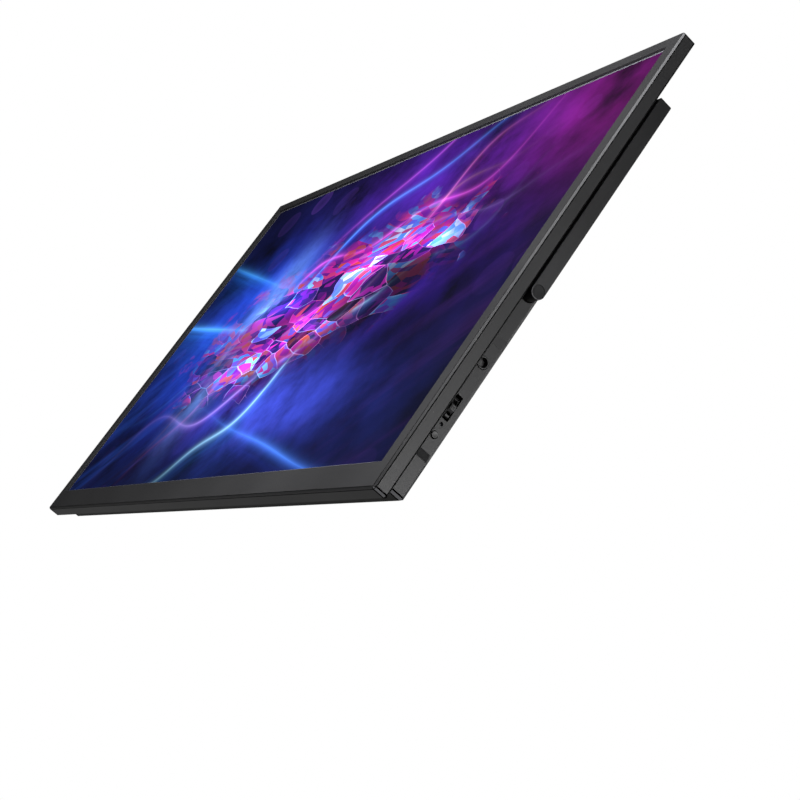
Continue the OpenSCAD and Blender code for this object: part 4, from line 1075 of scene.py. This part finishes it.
def menu_lever():
    """Rocking lever: a bar with eased edges, a raised thumb piece with sloped sides, and three fine
    grooves."""
    low, high = box_of("jog_lever")
    z, face = (low[2] + high[2])/2, high[0]
    half = (high[2] - low[2])/2
    made = Surface()
    made.block((low[0], low[1], z - half), (face - 1.2, high[1], z + half), 0.25)
    # the thumb piece, as a run of heights along Z carried across the bar
    run = [(-1.95, -1.3), (-1.1, 0.0), (-0.62, 0.0), (-0.5, -0.14), (-0.38, 0.0), (-0.12, 0.0), (0.0, -0.14),
           (0.12, 0.0), (0.38, 0.0), (0.5, -0.14), (0.62, 0.0), (1.1, 0.0), (1.95, -1.3)]
    flat = rounded(run, [0, 0.15, *[0.02]*9, 0.15, 0], 3)[0]
    rings = []
    for y, drop in ((low[1], 0.2), (low[1] + 0.06, 0.06), (low[1] + 0.2, 0), (high[1] - 0.2, 0),
                    (high[1] - 0.06, 0.06), (high[1], 0.2)):
        rings.append(np.stack([face + flat[:, 1] - drop, np.full(len(flat), y), z + flat[:, 0]], -1))
    foot = [np.concatenate([np.full((len(flat), 1), face - 1.4), rings[end][:, 1:]], 1) for end in (0, -1)]
    made.stack([foot[0], *rings, foot[1]], closed=False)
    # end stops that show at both ends of the window
    for side in (-1, 1):
        made.block((face - 1.4, low[1] + 0.25, z + side*(half - 0.55) - 0.5),
                   (face - 0.75, high[1] - 0.25, z + side*(half - 0.55) + 0.5), 0.15)
    made.make("menu_lever", "jog_lever", "button_plastic", LOOKS["button"], "jog_lever")


def status_lens():
    """Light pipe: a small domed rod and its foot on the key board."""
    low, high = box_of("status_light")
    z, x1 = middle("status_light")[2], high[0]
    dome = [(r, x1 - 0.7 - 0.12*(r/0.62)**2) for r in np.linspace(0.62, 0.01, 6)]
    made = Surface()
    made.turn(WALL, z, CONTROL_Y, [(0.02, low[0] + 1.7), (0.7, low[0] + 1.7), (0.75, low[0] + 1.8),
                                   (0.75, x1 - 0.9), *dome], 32)
    made.block((low[0], low[1], z - 0.9), (low[0] + 1.8, high[1] - 0.1, z + 0.9), 0.15)
    made.make("status_lens", "monitor", "light_lens", LOOKS["lens"], "status_light")


THREAD_PITCH = 0.7


def thread_insert(x, z):
    """Rings of a threaded brass insert: a knurled outside, an eased top and an M4 thread. The thread's
    radius is 2.36 - 0.36 * |2 * frac(h / pitch - t / 2 pi) - 1|, for the depth h and the angle t; the 0.36
    grows from 0 over the first turn."""
    low, high = box_of("wall_mount_inserts")
    y0, y1 = low[1], high[1]
    count = 48
    t = np.linspace(0, 2*np.pi, count, endpoint=False)
    way = np.stack([np.cos(t), np.sin(t)], -1)
    knurl = 3.1 + 0.08*np.abs(np.sin(12*t))
    rings = [(2.4, y0), (3.1, y0), (3.18, y0 + 0.1), (knurl, y0 + 0.4), (knurl, y1 - 0.4), (3.18, y1 - 0.12),
             (3.1, y1), (2.45, y1), (2.4, y1 - 0.02)]
    for h in np.arange(0.1, y1 - y0 - 0.1, THREAD_PITCH/6):
        turn = h/THREAD_PITCH - t/(2*np.pi)
        fade = min(1, h/THREAD_PITCH)
        rings.append((2.36 - 0.36*fade*np.abs(2*(turn - np.floor(turn)) - 1), y1 - h))
    rings.append((2.4, y0))
    return [lay(FRONT, np.array([x, z]) + np.broadcast_to(r, (count,))[:, None]*way, y) for r, y in rings]


def inserts():
    """The four threaded inserts of the wall mount."""
    made = Surface()
    for x in MOUNT_X:
        for z in MOUNT_Z:
            made.stack(thread_insert(x, z))
    made.make("thread_inserts", "monitor", "brass", LOOKS["brass"], "wall_mount_inserts")


def loop_stand():
    """Stand: each arm is its side outline, a half round about the pivot and two long sides, carried along
    X; the rail is a rounded section carried between the arms, and its top has a groove for each pad."""
    y0, y1 = PIVOT_Y - ARM_R, PIVOT_Y + ARM_R
    t = np.radians(np.arange(0, 181, 7.5))
    round_end = np.stack([PIVOT_Y - ARM_R*np.cos(t), PIVOT_Z - ARM_R*np.sin(t)], -1)
    rise = PIVOT_Z + ARM_R*np.tan(np.radians(np.arange(7.5, 83, 7.5)))
    head, head_out = rounded([(y1, 150), (y1, STAND_TOP), (y0, STAND_TOP), (y0, 150)], 0.5, 4)
    path = np.concatenate([round_end, np.stack([np.full_like(rise, y1), rise], -1), head[1:-1],
                           np.stack([np.full_like(rise, y0), rise[::-1]], -1)])
    out = np.concatenate([np.stack([-np.cos(t), -np.sin(t)], -1), np.tile([1.0, 0.0], (len(rise), 1)),
                          head_out[1:-1], np.tile([-1.0, 0.0], (len(rise), 1))])
    toward = path - (PIVOT_Y, PIVOT_Z)
    toward /= np.linalg.norm(toward, axis=1)[:, None]
    centre = np.array([PIVOT_Y, PIVOT_Z])
    side = rounded([(-2, ARM_X), (0, ARM_X), (0, PANEL_X), (-2, PANEL_X)], 0.3)[0][1:-1]
    bore = [(1.95, PANEL_X - 1.6), (1.95, ARM_X)]
    rings = [lay(SIDE, centre + r*toward, x) for r, x in bore] + [lay(SIDE, path + a*out, x) for a, x in side]
    seat = [(3.03 + HOLD, 0), (3.03, 0), (2.98, 0.03), (2.95, 0.08), (2.95, SEAT_DEPTH), (2.0, SEAT_DEPTH)]
    rings += [lay(SIDE, centre + r*toward, PANEL_X - d) for r, d in seat]
    # painted shade and highlight: the round end is painted dark underneath and has a rim painted pale as a
    # highlight, the outer face is painted paler near the pivot and darker towards the top, and the cap's seat
    # is painted as a black ring of shade with a pale painted edge
    under = np.clip((PIVOT_Z + 1.5 - path[:, 1])/1.5, 0, 1)
    fade = np.clip((path[:, 1] - PIVOT_Z)/(STAND_TOP - PIVOT_Z), 0, 1)*0.75 - 0.35
    tone = [0*under, 0*under]
    for a, x in side:
        outer = x > PANEL_X - 0.25
        rim = -6 if x < PANEL_X - 0.001 else 0
        tone.append((rim if outer else 0.85)*under + fade*outer*(1 - under))
    tone += [0*under + (1.0 if d > 0.02 else -0.35) for r, d in seat]
    made = Surface()
    made.stack(rings, tone)
    made.mirror()
    section = rounded([(y1, RAIL_LOW), (y1, STAND_TOP), (y0, STAND_TOP), (y0, RAIL_LOW)], 0.5, closed=True)[0]
    flat_top = np.abs(section[:, 1] - STAND_TOP) < 1e-6

    def top_left_out(j, i):
        """The flat top, which the sheet with the grooves closes."""
        k = (i + 1) % len(section)
        return flat_top[i] & flat_top[k] & (np.abs(section[i, 0] - section[k, 0]) > 1)

    reach = ARM_X + 0.1
    made.stack([lay(SIDE, section, -reach), lay(SIDE, section, reach)], skip=top_left_out)
    top_y = section[flat_top, 0]
    grooves = [(*oblong(s*PAD_X, PIVOT_Y, PAD_L + 0.3, 3.5, 0.5, 4), lip(0.1, 0.9)) for s in (-1, 1)]
    made.holed(UPRIGHT, STAND_TOP, -1, (-reach, top_y.min()), (reach, top_y.max()), grooves)
    made.make("loop_stand", "stand", "stand_paint", LOOKS["stand"], "stand_frame")


def ribbed_pads():
    """Rubber pads: a rounded strip with cross ribs 2 mm apart on top, at the height
    top - 0.14 * (1 - cos(pi * x)) / 2, and rounded down over the last 0.4 mm at each end."""
    low = box_of("stand_pads")[0]
    half = PAD_L/2
    xs = np.linspace(-half, half, 361)
    across = np.array([(0.0, 0), (0.0, 0.9), (0.12, 1.03), (0.35, 1.1), (1.6, 1.1), (2.85, 1.1), (3.08, 1.03),
                       (3.2, 0.9), (3.2, 0)])
    ends = np.clip((half - np.abs(xs))/0.4, 0, 1)
    groove = 0.14*(1 - np.cos(np.pi*xs))/2 + 0.25*(1 - np.sqrt(ends))
    z = low[2] + across[:, 1] - groove[:, None]*(across[:, 1] > 1.0)
    rings = np.stack(np.broadcast_arrays(PAD_X + xs[:, None], low[1] + across[:, 0], z), -1)
    made = Surface()
    made.stack(rings)
    made.caps(rings[0], rings[-1])
    made.mirror()
    made.make("grip_pads", "stand", "pad_rubber", LOOKS["rubber"], "stand_pads")


def pivot_covers():
    """Round caps in the arms' ends: an eased rim, a shallow ring groove and a slightly dished face."""
    low, high = box_of("pivot_cap_right")
    x0, x1 = low[0], high[0]
    edge = rounded([(0.02, x0), (2.88, x0), (2.88, x1), (2.45, x1), (2.38, x1 - 0.07), (2.3, x1), (2.0, x1)],
                   0.05, 3)[0]
    dish = [(r, x1 - 0.06*(1 - (r/2.0)**2)) for r in np.linspace(1.95, 0.02, 8)]
    for name, side in (("pivot_cap_right", 1), ("pivot_cap_left", -1)):
        made = Surface()
        made.turn(SIDE, PIVOT_Y, PIVOT_Z, [*edge[:-1], *dish])
        if side < 0:
            made.points = [points*np.array([-1, 1, 1]) for points in made.points]
        made.make(name.replace("cap", "cover"), "stand", "cap_plastic", LOOKS["cap"], name)


MARK_Y = BAY_Y + 0.02       # the printed marks lie just over the bay's back


def ribbon(made, points, width, closed=False):
    """A flat printed line on the bay's back: at each point of its run, (x, z) plus and minus half the width
    times the line's normal."""
    run = np.asarray(points, float)
    if closed:
        run = np.concatenate([run, run[:1]])
    way = np.gradient(run, axis=0)
    if closed:
        way[0] = way[-1] = run[1] - run[-2]
    way /= np.linalg.norm(way, axis=1)[:, None]
    across = np.stack([-way[:, 1], way[:, 0]], -1)*width/2
    made.stack([lay(FRONT, run + across, MARK_Y), lay(FRONT, run - across, MARK_Y)], closed=False)


def arc(x, z, r, low, high, count=20):
    """Points of an arc, in degrees."""
    t = np.radians(np.linspace(low, high, count))
    return np.stack([x + r*np.cos(t), z + r*np.sin(t)], -1)


def printed_marks():
    """Small pale pictograms on the back beside each port and control: a two-way arrow at each data port, a
    screen at the video port, a headset at the jack, a dot and two chevrons at the lever and a broken ring
    at the power button."""
    made = Surface()
    x = -BAY_X + 5.5
    for node in ("usb_c_port_upper", "usb_c_port_lower"):
        z = middle(node)[2]
        ribbon(made, [(x, z - 1.9), (x, z + 1.9)], 0.28)
        for s in (-1, 1):
            for t in (-1, 1):
                ribbon(made, [(x + t*0.75, z + s*1.15), (x + t*0.05, z + s*2.0)], 0.28)
    z = middle("mini_hdmi_port")[2]
    ribbon(made, oblong(x, z + 0.3, 3.6, 2.3, 0.4, 4)[0], 0.26, True)
    ribbon(made, [(x - 0.9, z - 1.5), (x + 0.9, z - 1.5)], 0.26)
    x = BAY_X - 5.5
    z = middle("headphone_jack")[2]
    ribbon(made, arc(x, z - 0.2, 1.6, 0, 180), 0.26)
    for s in (-1, 1):
        made.caps(lay(FRONT, oblong(x + s*1.5, z - 0.9, 0.7, 1.5, 0.3, 4)[0], MARK_Y))
    z = middle("jog_lever")[2]
    for s in (-1, 1):
        ribbon(made, [(x - 0.9, z + s*1.4), (x, z + s*2.1), (x + 0.9, z + s*1.4)], 0.26)
    made.caps(lay(FRONT, circle(x, z, 0.45, 24)[0], MARK_Y))
    z = middle("power_button")[2]
    ribbon(made, arc(x, z, 1.5, 125, 415, 40), 0.26)
    ribbon(made, [(x, z + 0.5), (x, z + 1.9)], 0.26)
    made.make("printed_marks", "monitor", "shell_plastic", LOOKS["ink"])


front_frame()
rear_case()
bay_housing()
ports()
audio_jack()
power_key()
menu_lever()
status_lens()
inserts()
loop_stand()
ribbed_pads()
pivot_covers()
printed_marks()


# ---- Stage, lights and camera ------------------------------------------------------------

def one_sided_floor():
    """Pale floor that shows from above only. The camera sees a light grey, darker near the object as its
    soft shadow, that fades to plain white far off. Every other ray finds a dim light, a little brighter
    right under the object and brightest in a band beside it, on its right."""
    material = bpy.data.materials.new("pale floor")
    material.use_nodes = True
    material.node_tree.nodes.clear()
    w = Wiring(material.node_tree)
    spot = w.node("ShaderNodeTexCoord").outputs["Object"]
    x, y, _ = w.parts(spot)

    def shining(strength):
        made = w.node("ShaderNodeEmission")
        w.feed(made.inputs["Strength"], strength)
        return made.outputs[0]

    # the closer the object, the more of the sky over the floor it hides: that is its soft shadow
    sky = w.node("ShaderNodeAmbientOcclusion", samples=8)
    sky.inputs["Distance"].default_value = 0.30
    patches = w.span(w.noise(spot, 3.0, 3.0), 0.3, 0.7, 0.985, 1.0)
    shade = w.times(w.span(sky.outputs["AO"], 0.25, 1.0, 0.62, 0.93), patches)
    far = w.span(w.vector("LENGTH", spot), 0.35, 1.6, smooth=True)
    seen = w.either(far, shining(shade), shining(1.0))
    away = w.minus(x, PANEL_X*MM)
    band = w.times(w.span(away, 0.0, 0.004), w.span(away, 0.10, 0.02, smooth=True))
    under = w.times(w.math("LESS_THAN", w.math("ABSOLUTE", y), -FRONT_Y*MM),
                   w.math("LESS_THAN", w.math("ABSOLUTE", x), PANEL_X*MM))
    dim = w.math("MULTIPLY_ADD", band, 1.1, w.math("MULTIPLY_ADD", under, 0.16, 0.10))
    top = w.either(w.node("ShaderNodeLightPath").outputs["Is Camera Ray"], shining(dim), seen)
    clear = w.node("ShaderNodeBsdfTransparent").outputs[0]
    both = w.either(w.node("ShaderNodeNewGeometry").outputs["Backfacing"], top, clear)
    w.feed(w.node("ShaderNodeOutputMaterial").inputs["Surface"], both)
    return material


def stage_floor():
    """A round floor 12 m across, 0.05 mm under the object."""
    rim = lay(UPRIGHT, circle(0, 0, 6.0, 96)[0], -0.05*MM)
    mesh = bpy.data.meshes.new("floor")
    mesh.from_pydata(rim.tolist(), [], [list(range(len(rim)))])
    mesh.materials.append(one_sided_floor())
    placed("floor", mesh)


def studio_world():
    """White for the camera. Reflections see a glow near the horizon that dims towards the ceiling and to
    the left. Every other ray finds an even fill."""
    world = bpy.data.worlds.new("studio")
    bpy.context.scene.world = world
    world.use_nodes = True
    world.node_tree.nodes.clear()
    w = Wiring(world.node_tree)

    def light(strength):
        made = w.node("ShaderNodeBackground")
        made.inputs["Color"].default_value = (1, 1, 1, 1)
        w.feed(made.inputs["Strength"], strength)
        return made.outputs[0]

    x, _, z = w.parts(w.node("ShaderNodeTexCoord").outputs["Generated"])
    upward = w.span(z, 0.05, 0.55, 0.85, 0.04, smooth=True)
    sideways = w.span(x, -0.75, 0.45, 0.05, 0.60, smooth=True)
    path = w.node("ShaderNodeLightPath").outputs
    shiny = w.math("MAXIMUM", path["Is Glossy Ray"], path["Is Transmission Ray"])
    rest = w.either(shiny, light(0.22), light(w.times(upward, sideways)))
    whole = w.either(path["Is Camera Ray"], rest, light(1.0))
    w.feed(w.node("ShaderNodeOutputWorld").inputs["Surface"], whole)


def softbox(name, at, aim, size, watts, mirrored=True):
    """A rectangular lamp at a point, aimed at another. Glossy surfaces show it only if it is mirrored."""
    lamp = bpy.data.lights.new(name, "AREA")
    lamp.shape = "RECTANGLE"
    lamp.size, lamp.size_y = size
    lamp.energy = watts
    holder = placed(name, lamp)
    holder.visible_glossy = mirrored
    holder.location = at
    holder.rotation_mode = "QUATERNION"
    holder.rotation_quaternion = (Vector(aim) - Vector(at)).to_track_quat("-Z", "Y")


stage_floor()
studio_world()
softbox("overhead", (0.2, -0.5, 1.5), (0, 0, 0.12), (1.4, 1.0), 8)
softbox("front, near and low", (0.20, -0.36, 0.02), (0.21, 0, 0.10), (0.15, 0.15), 2.9, mirrored=False)
softbox("front, near and high", (0.20, -0.36, 0.28), (0.21, 0, 0.16), (0.15, 0.15), 2.9, mirrored=False)
softbox("right low", (1.2, 0.45, 0.10), (0.15, 0, 0.05), (0.5, 0.4), 8)
softbox("back", (0.5, 1.5, 0.9), (0, 0, 0.12), (1.0, 0.8), 12)

# The photograph's camera, found from the corners and edges of the monitor
FOCAL_LENGTH, SENSOR = 75.364, 36.0
CAMERA_AT = 0.7854, -0.2296, -0.1951
RIGHT = 0.47292, 0.70140, 0.53328
UP = 0.07536, -0.63522, 0.76864
BEHIND = 0.87787, -0.32332, -0.35327
lens = bpy.data.cameras.new("camera")
lens.sensor_width = SENSOR
lens.lens = FOCAL_LENGTH
lens.clip_start = 0.01
lens.clip_end = 50.0
camera = placed("camera", lens)
facing = Matrix((RIGHT, UP, BEHIND)).transposed()
camera.matrix_world = Matrix.Translation(CAMERA_AT) @ facing.to_4x4()
bpy.context.scene.camera = camera

bpy.context.scene.view_settings.view_transform = "Standard"
